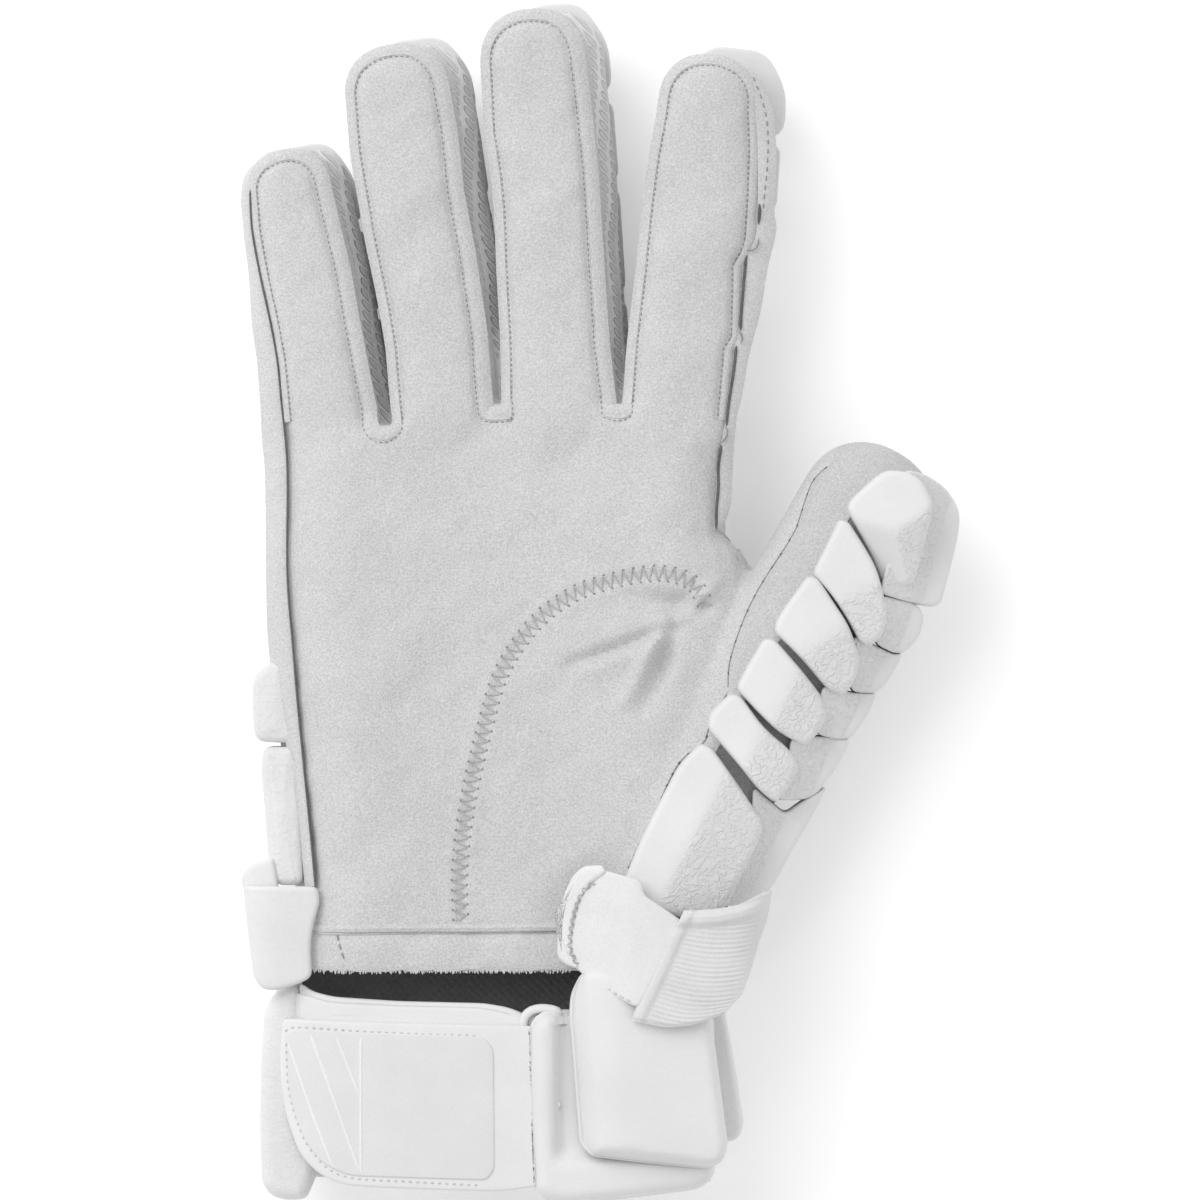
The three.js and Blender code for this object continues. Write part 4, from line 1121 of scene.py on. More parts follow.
def press_front(obj):
    points, normals, plan = plan_arrays(obj)
    front = np.clip((normals[:, 2] - 0.15) / 0.4, 0, 1) * (plan[:, 2] > SEAM_Z - 6)
    push = np.zeros(len(points))
    stitch = line_distance(plan, finger_stitches, 6)
    push -= 0.7 * np.exp(-((stitch / 0.75) ** 2))
    push -= 0.5 * np.exp(-((line_distance(plan, binding_line, 5) / 0.9) ** 2))
    push -= 0.7 * np.exp(-((line_distance(plan, left_seam, 5) / 1.1) ** 2))
    seam = line_distance(plan, zigzag_line, 8)
    push -= 0.35 * np.exp(-((seam / 0.7) ** 2))
    push += 0.3 * np.exp(-(((seam - 2.6) / 1.5) ** 2))
    for start, end, depth, width in CREASES:
        distance, t = segment_distance(plan, photo(*start), photo(*end))
        fade = np.sin(np.pi * np.clip(0.12 + 0.76 * t, 0, 1))
        push -= depth * fade * np.exp(-((distance / width) ** 2))
    for rate, height in NOISE_SWELLS:
        wave = np.sin(plan[:, 0] * rate * 6.3 + 1.3 * np.sin(plan[:, 1] * rate * 5.1))
        wave *= np.sin(plan[:, 1] * rate * 4.7 + 0.8 * np.cos(plan[:, 0] * rate * 7.7))
        push += height * wave
    points += normals * (front * push * MM)[:, None]
    obj.data.vertices.foreach_set("co", points.ravel())
    obj.data.update()


press_front(skin)

# %% [markdown]
# ## Cutting the skin along its seams
# All seams are straight seen from some side, so bisecting planes cut them cleanly: the height of the
# side seam, the turned edge of the back liner, the hem, the lines beside the thumb pads. The curl of
# the fingers is taken out first, so that one level plane follows the seam. Every face then knows
# its zone by its middle, and separating by material gives one object for each zone.

# %% Zones
LINER_TURN = 4
HEM_HEIGHT = 11
THUMB_SEAM_DROP = 8
BINDING_INNER = 3
BINDING_LENGTH = 80
BINDING_TIP = 13
THUMB_WEB = (1.075 * KNUCKLE_HALF, 0.792 * PALM_LENGTH)
THUMB_WRIST = (0.68 * KNUCKLE_HALF, -0.3)
WALL_ZONES = ["pinky_side_panel", "gusset_pinky_ring", "gusset_ring_middle", "gusset_middle_index",
              "index_side_panel"]


def curl_skin(obj, sign):
    points, normals, plan = plan_arrays(obj)
    beyond = np.clip((plan[:, 1] - PALM_LENGTH) / LONGEST, 0, 2)
    points[:, 2] += sign * FINGER_CURL * beyond * beyond * MM
    obj.data.vertices.foreach_set("co", points.ravel())
    obj.data.update()


def cut(obj, point, normal, keep=None):
    """Cuts along a plane the faces whose middles pass the test, and leaves both sides."""
    choose(obj)
    for face in obj.data.polygons:
        face.select = keep is None or keep(face)
    bpy.ops.object.mode_set(mode="EDIT")
    bpy.ops.mesh.bisect(plane_co=place(*point), plane_no=normal, use_fill=False)
    bpy.ops.object.mode_set(mode="OBJECT")


def middle_of(face):
    x, y, z = face.center
    return (x - GLOVE_X) / MM, (y - GLOVE_Y) / MM, z / MM


def beside_thumb(x, y):
    """Whether a point of the plan is on the thumb's side of the line from web to wrist."""
    ax, ay = THUMB_WEB
    bx, by = THUMB_WRIST
    right = (bx - ax) * (y - ay) - (by - ay) * (x - ax) > 0
    return right and y < ay + THUMB_LENGTH / 3 and (y < ay or x > ax)


binding_rows = sorted((v, u) for u, v in (thumb_shares(p.x, p.y) for p in binding_line))


def zone_of(x, y, z):
    if beside_thumb(x, y):
        u, v = thumb_shares(x, y)
        bed = u > -BINDING_INNER and v > BINDING_TIP
        if z > SEAM_Z - THUMB_SEAM_DROP and not bed:
            low_edge = curve_value(binding_rows, v)
            return "thumb_binding" if u > low_edge and v < BINDING_LENGTH else "front"
        return "thumb_liner"
    if z > SEAM_Z:
        return "palm_hem" if y < HEM_HEIGHT else "front"
    if z < LINER_Z + LINER_TURN:
        return "back_liner"
    if y < PALM_LENGTH - 12:
        return WALL_ZONES[0] if x < 0 else WALL_ZONES[-1]
    shares = [finger_shares(finger, x, y) for finger in FINGERS]
    middles = [(finger["gusset"] - finger["tip_flare"]) / 2 for finger in FINGERS]
    offsets = [u - middle for (s, u), middle in zip(shares, middles)]
    beyond = [max(0, s - finger["length"]) for (s, u), finger in zip(shares, FINGERS)]
    nearest = min(range(len(FINGERS)), key=lambda i: abs(offsets[i]) + beyond[i])
    return WALL_ZONES[nearest + (1 if offsets[nearest] > 0 else 0)]


curl_skin(skin, -1)
UP = Vector((0, 0, 1))
cut(skin, (0, 0, SEAM_Z), UP)
cut(skin, (0, 0, LINER_Z + LINER_TURN), UP)
cut(skin, (0, 0, SEAM_Z - THUMB_SEAM_DROP), UP, lambda face: middle_of(face)[0] > THUMB_WRIST[0])
cut(skin, (0, HEM_HEIGHT, 0), (0, 1, 0))
web_line = Vector(THUMB_WEB) - Vector(THUMB_WRIST)
cut(skin, (*THUMB_WEB, 0), (web_line.y, -web_line.x, 0), lambda face: middle_of(face)[1] < THUMB_WEB[1] + 8)
thumb_across = (math.cos(THUMB_LEAN), -math.sin(THUMB_LEAN), 0)
thumb_along = (math.sin(THUMB_LEAN), math.cos(THUMB_LEAN), 0)
on_thumb_face = lambda face: beside_thumb(*middle_of(face)[:2])
cut(skin, (*on_thumb(-BINDING_INNER, 0), 0), thumb_across, on_thumb_face)
cut(skin, (*on_thumb(0, BINDING_TIP), 0), thumb_along, on_thumb_face)

ZONES = ["front", "palm_hem", "thumb_binding", "back_liner", "thumb_liner", "wrist_end"] + WALL_ZONES
skin.data.materials.clear()
for zone in ZONES:
    skin.data.materials.append(bpy.data.materials.new("zone " + zone))
for face in skin.data.polygons:
    x, y, z = middle_of(face)
    zone = "wrist_end" if y < 0.8 and face.normal.y < -0.7 else zone_of(x, y, z)
    face.material_index = ZONES.index(zone)
curl_skin(skin, 1)
edit(skin, lambda: bpy.ops.mesh.separate(type="MATERIAL"))
zones = {}
for obj in list(bpy.context.scene.objects):
    if obj.type == "MESH" and obj.data.materials and obj.data.materials[0].name.startswith("zone "):
        zone = obj.data.materials[0].name[len("zone "):]
        zones[zone] = obj
        obj.name = "cut " + zone
bpy.data.objects.remove(zones.pop("wrist_end"))
print("zones", {zone: len(obj.data.polygons) for zone, obj in zones.items()})


# %% [markdown]
# Each cut is now a bare surface. It gets its wall inwards, so the outside stays where the pads sit.
# The knit sides are drawn in a little first, so that the open seam of the front stands over them.

# %% Walls
def largest_part(obj):
    """Deletes crumbs that a cut leaves beside the main surface."""
    choose(obj)
    bpy.ops.object.mode_set(mode="EDIT")
    bpy.ops.mesh.select_all(action="SELECT")
    bpy.ops.mesh.separate(type="LOOSE")
    bpy.ops.object.mode_set(mode="OBJECT")
    parts = sorted(bpy.context.selected_objects, key=lambda one: -len(one.data.polygons))
    for crumb in parts[1:]:
        bpy.data.objects.remove(crumb)
    return parts[0]


def draw_in(obj, by):
    edit(obj, lambda: bpy.ops.transform.shrink_fatten(value=-by * MM))


def thicken(obj, wall, inside=0):
    modify(obj, "SOLIDIFY", thickness=wall * MM, offset=-1, use_rim=True, material_offset=inside)


SHEETS = {
    "front": dict(name="palm_front", nodes=("palm_panel", "thumb_panel"), material=palm_suede,
                  slot="suede", flat=(0.2, 0.3), area=319, draw=0),
    "palm_hem": dict(name="palm_hem_band", nodes=("palm_hem",), material=palm_suede, slot="suede",
                     flat=(0.112, 0.0125), area=11, draw=-0.8),
    "thumb_binding": dict(name="thumb_binding_strip", nodes=("thumb_binding",), material=binding_suede,
                          slot="binding", flat=(0.03, 0.095), area=18.5, draw=0),
    # The outsides of both liners are the bed between the pads, dark with painted shade
    "back_liner": dict(name="back_lining", nodes=("back_liner",), material=base_leather, slot="lining",
                       flat=(0.2, 0.3), area=315, draw=0.3, inside=lining_cloth),
    "thumb_liner": dict(name="thumb_lining", nodes=("thumb_liner",), material=base_leather,
                        slot="lining", flat=(0.1, 0.17), area=107, draw=0.3, inside=lining_cloth),
    "pinky_side_panel": dict(name="pinky_side", nodes=("pinky_side_panel",), material=side_suede,
                             slot="suede", flat=(0.022, 0.26), area=38, draw=0.6),
    "gusset_pinky_ring": dict(name="knit_pinky_ring", nodes=("gusset_pinky_ring",),
                              material=knit_mesh, slot="knit", flat=(0.022, 0.19), area=27.4, draw=0.8),
    "gusset_ring_middle": dict(name="knit_ring_middle", nodes=("gusset_ring_middle",),
                               material=knit_mesh, slot="knit", flat=(0.022, 0.23), area=35.6, draw=0.8),
    "gusset_middle_index": dict(name="knit_middle_index", nodes=("gusset_middle_index",),
                                material=knit_mesh, slot="knit", flat=(0.022, 0.23), area=35.9, draw=0.8),
    "index_side_panel": dict(name="index_side", nodes=("index_side_panel",), material=side_suede,
                             slot="suede", flat=(0.022, 0.16), area=21.5, draw=0.6),
}

sheets = {}
for zone, row in SHEETS.items():
    piece = largest_part(zones[zone])
    if row["draw"]:
        draw_in(piece, row["draw"])
    area = cloth_area(piece)
    lined = "inside" in row
    piece.data.materials.clear()
    piece.data.materials.append(row["material"])
    if lined:
        piece.data.materials.append(row["inside"])
        paint_pebble(piece, lambda normal: 0.5)
    thicken(piece, WALL, 1 if lined else 0)
    finish_piece(piece, row["name"], None, row["slot"], row["nodes"], 50)
    print(zone, "cloth area", round(area * 1e4, 1), "square cm, flat", row["flat"])
    sheets[zone] = piece

# %% [markdown]
# ## Threads
# A stitch is a short strand that dips into the cloth at both ends. One strand is modelled, then copied
# along each line, laid on the cloth by casting a ray down to it.

# %% One stitch, copied along a line
STITCH_THICKNESS = 0.36
STITCH_SIDES = 5


def surface_finder(*objects):
    """Looks straight down on some pieces: the point hit and its normal, or None twice."""
    corners, faces = [], []
    for obj in objects:
        base = len(corners)
        corners += [tuple(v.co) for v in obj.data.vertices]
        faces += [tuple(base + i for i in face.vertices) for face in obj.data.polygons]
    tree = BVHTree.FromPolygons(corners, faces)

    def find(x, y):
        hit, normal, index, distance = tree.ray_cast(place(x, y, 200), Vector((0, 0, -1)))
        return (hit, normal) if hit is not None else (None, None)

    return find


def stitch_mesh(start, end, normal, thickness, arch):
    """Points and faces of one strand from start to end, arched out of the cloth."""
    along = end - start
    side = along.cross(normal).normalized()
    points, faces = [], []
    profile = [(0, 0.45, -0.6), (0.2, 1, 0.35), (0.5, 1, 1), (0.8, 1, 0.35), (1, 0.45, -0.6)]
    for t, size, rise in profile:
        centre = start + along * t + normal * rise * arch * MM
        for k in range(STITCH_SIDES):
            angle = 2 * math.pi * k / STITCH_SIDES
            radius = thickness * size * 0.5 * MM
            points.append(centre + (side * math.cos(angle) + normal * math.sin(angle)) * radius)
    for row in range(len(profile) - 1):
        for k in range(STITCH_SIDES):
            a, b = row * STITCH_SIDES + k, row * STITCH_SIDES + (k + 1) % STITCH_SIDES
            faces.append((a, b, b + STITCH_SIDES, a + STITCH_SIDES))
    faces.append(tuple(reversed(range(STITCH_SIDES))))
    last = (len(profile) - 1) * STITCH_SIDES
    faces.append(tuple(range(last, last + STITCH_SIDES)))
    return points, faces


def sew(name, pairs, find, material=None, thickness=STITCH_THICKNESS, arch=0.22, slot="suede"):
    """Stitches between pairs of plan points, on a surface, as one mesh."""
    points, faces = [], []
    for first, second in pairs:
        start, normal_a = find(*first)
        end, normal_b = find(*second)
        if start is None or end is None or (end - start).length > 12 * MM:
            continue
        normal = (normal_a + normal_b).normalized()
        new_points, new_faces = stitch_mesh(start, end, normal, thickness, arch)
        base = len(points)
        points += new_points
        faces += [tuple(base + i for i in face) for face in new_faces]
    mesh = bpy.data.meshes.new(name)
    mesh.from_pydata([tuple(p) for p in points], [], faces)
    thread = bpy.data.objects.new(name, mesh)
    bpy.context.scene.collection.objects.link(thread)
    edit(thread, lambda: bpy.ops.mesh.normals_make_consistent(inside=False))
    finish_piece(thread, name, material or thread_material, slot)
    return thread


def backstitches(line, length, space):
    """Pairs of plan points for stitches of a length along an evenly spaced line."""
    step = (line[1] - line[0]).length
    take, skip = max(1, round(length / step)), max(1, round(space / step))
    pairs, at = [], 0
    while at + take < len(line):
        pairs.append(((line[at].x, line[at].y), (line[at + take].x, line[at + take].y)))
        at += take + skip
    return pairs


def beside(line, offset):
    """A line moved sideways by an offset."""
    moved = []
    for i, p in enumerate(line):
        before, after = line[max(i - 1, 0)], line[min(i + 1, len(line) - 1)]
        along = (after - before).normalized()
        moved.append(Vector((p.x - along.y * offset, p.y + along.x * offset)))
    return moved


def bead(name, lines, top, radius, material, slot, sink=0.3, sides=8):
    """Raised lines: thin round beads half sunk in a surface, as one mesh."""
    parts = []
    for line in lines:
        path = open_line(line, 1.2)
        rings = []
        for i, p in enumerate(path):
            before, after = path[max(i - 1, 0)], path[min(i + 1, len(path) - 1)]
            along = (after - before).normalized()
            end = 0.3 if i in (0, len(path) - 1) else 1
            ring = []
            for k in range(sides):
                angle = 2 * math.pi * k / sides
                out = radius * end * math.cos(angle)
                x, y = p.x - along.y * out, p.y + along.x * out
                ring.append((x, y, top(p.x, p.y) - sink * radius + radius * end * math.sin(angle)))
            rings.append(ring)
        parts.append(rolled("bead", rings))
    made = join(name, parts)
    return finish_piece(made, name, material, slot)


def height_on(find):
    """The height of a surface in millimetres, as a function of the plan."""
    def height(x, y):
        hit, normal = find(x, y)
        return hit.z / MM if hit is not None else SEAM_Z
    return height


def eased_heights(values, reach):
    """Heights along a line with their jumps smoothed out."""
    result = []
    for i in range(len(values)):
        near = values[max(0, i - reach):i + reach + 1]
        result.append(sum(near) / len(near))
    return result


def ribbon(name, inner, outer, height, drop, material, slot, wall=0.9, rise=0.3, columns=4):
    """A strip between two lines of equally many plan points, level with a surface along the inner."""
    levels = eased_heights([height(p[0], p[1]) for p in inner], 3)
    rows = len(inner) - 1

    def surface(a, b):
        i = round(b * rows)
        x, y = lerp(inner[i][0], outer[i][0], a), lerp(inner[i][1], outer[i][1], a)
        return (x, y, levels[i] + rise - drop * a * a)

    made = patch(name, columns, rows, surface)
    edit(made, lambda: bpy.ops.mesh.normals_make_consistent(inside=False))
    if sum(face.normal.z for face in made.data.polygons) < 0:
        edit(made, lambda: bpy.ops.mesh.flip_normals())
    thicken(made, wall)
    return finish_piece(made, name, material, slot, (), 50)


on_front = surface_finder(sheets["front"], sheets["palm_hem"], sheets["thumb_binding"])
front_height = height_on(on_front)
sew("finger_stitches", backstitches(finger_stitches, 1.1, 0.5), on_front, thickness=0.3, arch=0.1)

# %% [markdown]
# Outside the stitches the two cloths lie together as a narrow open border. It is a ribbon between
# the line of stitches and the edge of the fronts, and it ends with a cut edge that throws a shadow.

# %% The border round the fingers
BORDER_DROP = 1.5
border_inner = [Vector(p) for p in stitch_line(0.86, PALM_STITCH_DROP * 0.86)]
border_outer = [Vector(p) for p in stitch_line(0.03, 0.5)]
steps = []
for k in range(len(border_inner) - 1):
    gap = (border_inner[k + 1] - border_inner[k]).length
    count = max(1, round(gap / 1.0))
    steps += [(k, j / count) for j in range(count)]
steps.append((len(border_inner) - 2, 1.0))
fine_inner = [border_inner[k].lerp(border_inner[k + 1], t) for k, t in steps]
fine_outer = [border_outer[k].lerp(border_outer[k + 1], t) for k, t in steps]
ribbon("finger_border", fine_inner, fine_outer, front_height, BORDER_DROP, palm_suede, "suede")

# %% The side seam of the palm, with the flap of its side panel
FLAP_EDGE = [
    (241, 199), (244, 230), (249, 275), (252, 321), (257, 360), (260, 402), (262, 440), (265, 478),
    (266, 574), (268, 640), (276, 700), (290, 760), (298, 820), (305, 884),
]
seam_points = open_line(traced(LEFT_SEAM), 2.0)
flap_points = open_line(traced(FLAP_EDGE), 2.0)
count = min(len(seam_points), len(flap_points))


def evenly(line, count):
    return [line[round(i * (len(line) - 1) / (count - 1))] for i in range(count)]


seam_height = lambda x, y: front_height(x + 2.5, y) - 1.2
ribbon("side_flap", evenly(seam_points, count), evenly(flap_points, count), seam_height, 3.2, side_suede,
       "suede", rise=0.2)
# The near-black bead along the seam is painted shade of the seam's gap
bead("side_seam", [[(x + 0.3, y) for x, y in traced(LEFT_SEAM)]],
     lambda x, y: seam_height(x, y) + 0.5, 0.28, seam_shadow, "suede")

# %% [markdown]
# The index finger has such a flap too. It stands further out than the front, and its seam is open in three
# places, where one looks into a slit; the dark of each slit is painted shade, a near-black bead along it.

# %% The flap and slits beside the index finger
INDEX_FLAP_INNER = [
    (744, 80), (752, 105), (756, 130), (757, 160), (757, 190), (757, 215), (755, 235), (748, 252),
    (743, 266), (741, 285), (739, 310), (737, 328), (734, 345), (732, 365), (729, 385), (726, 405),
    (724, 425), (721, 442), (717, 460), (716, 480), (715, 500), (714, 518), (714, 528),
]
INDEX_FLAP_OUTER = [
    (752, 72), (766, 95), (773, 112), (775, 135), (776, 160), (775, 190), (774, 212), (776, 224),
    (775, 236), (770, 256), (766, 275), (763, 295), (759, 316), (753, 338), (748, 358), (744, 382),
    (741, 398), (737, 414), (735, 430), (733, 455), (732, 480), (731, 500), (727, 515), (721, 527),
]
INDEX_SLITS = [
    [(744, 252), (743, 265), (741, 285), (739, 310), (738, 330)],
    [(734, 345), (732, 365), (729, 385), (726, 405), (724, 425)],
    [(719, 444), (716, 465), (716, 485), (714, 510), (714, 528)],
    [(757, 204), (757, 214), (756, 224)],
]
INDEX_HOOKS = [
    [(758, 238), (757, 246), (752, 250), (746, 250)],
    [(738, 330), (741, 334), (742, 339), (740, 343)],
    [(724, 425), (727, 430), (727, 434), (723, 440), (720, 443)],
    [(714, 528), (722, 532), (727, 537), (731, 541)],
]
INDEX_SECOND_SEAM = [
    (752, 78), (760, 98), (765, 116), (767, 134), (767, 152), (766, 172), (764, 192), (762, 212),
]
index_inner = open_line(traced(INDEX_FLAP_INNER), 1.2)
index_outer = open_line(traced(INDEX_FLAP_OUTER), 1.2)
index_rows = sorted((p.y, p.x) for p in index_inner)
index_height = lambda x, y: front_height(curve_value(index_rows, y) - 1.8, y) - 0.9
count = min(len(index_inner), len(index_outer))
index_flap = ribbon("index_side_flap", evenly(index_inner, count), evenly(index_outer, count),
                    index_height, 2.4, side_suede, "suede", rise=0.2)
# Near-black beads in the slits: painted shade
bead("index_slits", [[(x + 0.5, y) for x, y in traced(line)] for line in INDEX_SLITS],
     lambda x, y: index_height(x, y) + 0.55, 0.42, seam_shadow, "suede")
bead("index_hooks", [traced(line) for line in INDEX_HOOKS],
     lambda x, y: index_height(x, y) + 0.75, 0.26, thread_material, "suede")
on_index_flap = surface_finder(index_flap)
sew("index_side_stitches", backstitches(open_line(traced(INDEX_SECOND_SEAM), 0.5), 1.3, 0.9),
    on_index_flap, material=thread_material, thickness=0.4, arch=0.1)

# %% The hem: a piped ridge, a seam under it, and a few cross stitches
HEM_RIDGE = [(312, 926), (400, 925), (480, 925), (575, 924)]
HEM_SEAM = [(314, 932), (400, 931), (480, 931), (575, 930)]
HEM_TACK = [(338, 931), (342, 946), (348, 963)]
bead("hem_piping", [traced(HEM_RIDGE)], front_height, 1.35, palm_suede, "suede", sink=0.1)
bead("hem_seam", [traced(HEM_SEAM)], front_height, 0.2, pale_thread, "suede", sink=0.1)
sew("hem_tack", backstitches(open_line(traced(HEM_TACK), 0.5), 2.0, 0.5), on_front,
    material=thread_material, thickness=0.5, arch=0.2)

# %% The fuzzy lower edge of the hem: short fibres in a row
random.seed(11)
fibres = []
FIBRE_SPACING = 0.32
x = photo(314, 0)[0]
while x < photo(572, 0)[0]:
    long = random.uniform(0.5, 1.5)
    fibres.append(((x, 0.9), (x + random.uniform(-0.5, 0.5), 0.9 - long)))
    x += FIBRE_SPACING


def hem_edge(x, y):
    hit, normal = on_front(x, max(y, 1.2))
    if hit is None:
        return None, None
    hit = hit.copy()
    hit.y = GLOVE_Y + y * MM
    hit.z -= 0.5 * MM
    return hit, normal


sew("hem_fuzz", fibres, hem_edge, material=palm_suede, thickness=0.4, arch=0.0)

# %% The wide zigzag seam: pale strands from side to side, and at each end a short dark strand, painted shade of the needle hole
ZIGZAG_HALF = 2.1
ZIGZAG_STEP = 2.7
HOLE_LENGTH = 0.7
seam_steps = open_line([(a * KNUCKLE_HALF, b * PALM_LENGTH) for a, b in ZIGZAG], ZIGZAG_STEP / 2)
left_row, right_row = beside(seam_steps, ZIGZAG_HALF), beside(seam_steps, -ZIGZAG_HALF)
zig, holes = [], []
for k in range(0, len(seam_steps) - 2, 2):
    a, b, c = left_row[k], right_row[k + 1], left_row[k + 2]
    zig += [((a.x, a.y), (b.x, b.y)), ((b.x, b.y), (c.x, c.y))]
    for end, row, i in ((a, left_row, k), (b, right_row, k + 1)):
        along = (row[i + 1] - row[i]).normalized() * HOLE_LENGTH
        holes.append(((end.x, end.y), (end.x + along.x, end.y + along.y)))
sew("zigzag_stitches", zig, on_front, material=pale_thread, thickness=0.32, arch=0.15)
# Short dark strands at the stitch ends: painted shade of the needle holes
sew("zigzag_holes", holes, on_front, thickness=0.5, arch=0.12)

# %% [markdown]
# ## Binding of the thumb
# A strip of darker suede runs between the thumb's palm side and its pads. Its seam is dark and
# uneven, and short tacks hold the lowest pad to the palm.

# %% Seams beside the thumb pads
PAD_SEAM_LINE = [
    (628, 866), (640, 840), (655, 810), (668, 780), (681, 758), (703, 740), (709, 724), (727, 690),
]
bead("binding_seam", [[(p.x, p.y) for p in binding_line]], front_height, 0.2, thread_material, "binding",
     sink=0.2)
bead("pad_seam", [traced(PAD_SEAM_LINE)], front_height, 0.25, thread_material, "suede",
     sink=0.2)
tacks = backstitches(open_line(traced(PAD_SEAM_LINE), 0.5), 1.0, 2.5)
sew("pad_tacks", tacks, on_front, material=seam_shadow, thickness=0.6, arch=0.15)
uneven = backstitches(binding_line, 1.0, 3.5)
sew("binding_tacks", uneven, on_front, material=seam_shadow, thickness=0.4, arch=0.12)

# %% [markdown]
# ## Thumb pads
# The thumb carries two rows of foam blocks under moulded leather. Seen from the palm each block of
# the front row has a smooth bright face beside the binding and a crinkled face that falls away.
# Such a block is a cushion whose top is the lowest of a few sloping planes, so the planes meet
# in a soft ridge. A plane is given by a point, the way it falls and its slope.

# %% Sloping planes
def falling(at, height, heading, slope):
    """A plane through a pixel of the photograph, falling by a slope in a heading (degrees, 0 = right)."""
    x0, y0 = photo(*at)
    turn = math.radians(heading)
    dx, dy = math.cos(turn), math.sin(turn)
    return lambda x, y: height - slope * ((x - x0) * dx + (y - y0) * dy)


def lowest(planes, soft=0.35):
    """The lowest of some planes, with the ridges rounded a little."""
    def height(x, y):
        values = [plane(x, y) for plane in planes]
        least = min(values)
        return least - soft * math.log(sum(math.exp((least - value) / soft) for value in values))
    return height


def facet_mask(planes):
    """Crinkled where the last plane is the lowest."""
    def mask(x, y):
        return smoothstep(-0.05, 0.3, min(plane(x, y) for plane in planes[:-1]) - planes[-1](x, y))
    return mask


def facet_pad(number, outline, planes, radii, edge=1.5):
    ring = round_corners(traced(outline), radii, 4, 1.2)
    block = cushion("block", ring, lowest(planes), lambda x, y: lowest(planes)(x, y) - 10.0, edge,
                    base_edge=0.3, belly=0.2, inner_rings=14)
    return finish_pad(block, f"thumb_pad_{number}", (f"thumb_front_pad_{number}",), angle=60,
                      rule=lambda normal: 0.2, by_place=facet_mask(planes))


# %% The front row, from the tip down: outline, ridge and planes
FRONT_PADS = [
    dict(
        outline=[
            (845, 508), (849, 499), (864, 485), (882, 470), (906, 472), (919, 481), (930, 504),
            (922, 540), (912, 582), (898, 585), (880, 583), (874, 562), (862, 540),
        ],
        radii=[2.4, 2.4, 3, 2.4, 2.4, 2.4, 2, 6, 1.5, 2, 1.5, 6, 6],
        planes=[
            falling((892, 531), 53.5, 140, 0.1), falling((892, 531), 53.5, -115, 0.72),
            falling((892, 531), 53.5, -58, 0.59),
        ],
    ),
    dict(
        outline=[
            (837, 519), (846, 521), (860, 543), (873, 566), (880, 590), (885, 614), (880, 633),
            (868, 645), (858, 640), (846, 618), (832, 596), (811, 572), (817, 560), (827, 540),
        ],
        radii=[2, 2, 6, 6, 6, 3, 2.5, 2, 3, 6, 8, 2, 5, 6],
        planes=[falling((850, 592), 53.0, 140, 0.08), falling((850, 592), 53.0, -72, 0.26)],
    ),
    dict(
        outline=[
            (806, 575), (816, 577), (832, 602), (845, 622), (853, 642), (858, 662), (852, 680),
            (842, 694), (826, 687), (800, 656), (772, 629), (778, 614), (790, 597),
        ],
        radii=[2, 2, 6, 6, 5, 2.5, 2.5, 2, 2.5, 8, 2, 5, 6],
        planes=[falling((824, 637), 53.0, 140, 0.08), falling((824, 637), 53.0, -62, 0.3)],
    ),
    dict(
        outline=[
            (763, 637), (773, 638), (800, 669), (820, 695), (825, 713), (817, 730), (803, 743),
            (778, 730), (755, 708), (735, 686), (750, 658),
        ],
        radii=[2, 2, 8, 3, 2, 3, 1.6, 5, 6, 2, 6],
        planes=[falling((781, 700), 53.0, 150, 0.1), falling((781, 700), 53.0, -25, 0.36)],
    ),
    dict(
        outline=[
            (729, 692), (739, 694), (762, 726), (786, 746), (797, 761), (789, 782), (774, 800),
            (757, 786), (738, 762), (707, 726), (709, 711),
        ],
        radii=[2, 2, 6, 3, 2, 3, 1.6, 5, 6, 2, 2.4],
        planes=[falling((751, 748), 53.0, 150, 0.1), falling((751, 748), 53.0, -25, 0.36)],
    ),
    dict(
        outline=[
            (700, 741), (710, 745), (735, 780), (762, 821), (757, 838), (744, 864), (724, 905),
            (702, 915), (658, 910), (622, 882), (640, 838), (660, 798), (680, 760),
        ],
        radii=[2.4, 2.4, 8, 2, 4, 6, 2.5, 4, 6, 2, 8, 8, 8],
        planes=[falling((697, 822), 54.0, 150, 0.12), falling((697, 822), 54.0, -27, 0.38)],
    ),
]
for number, row in enumerate(FRONT_PADS):
    facet_pad(number + 1, row["outline"], row["planes"], row["radii"])

# %% [markdown]
# The outer row lies lower. Each of its blocks starts with a crinkled slope beside the front row and
# ends in a smooth level rim, so here the top is the highest of two planes.

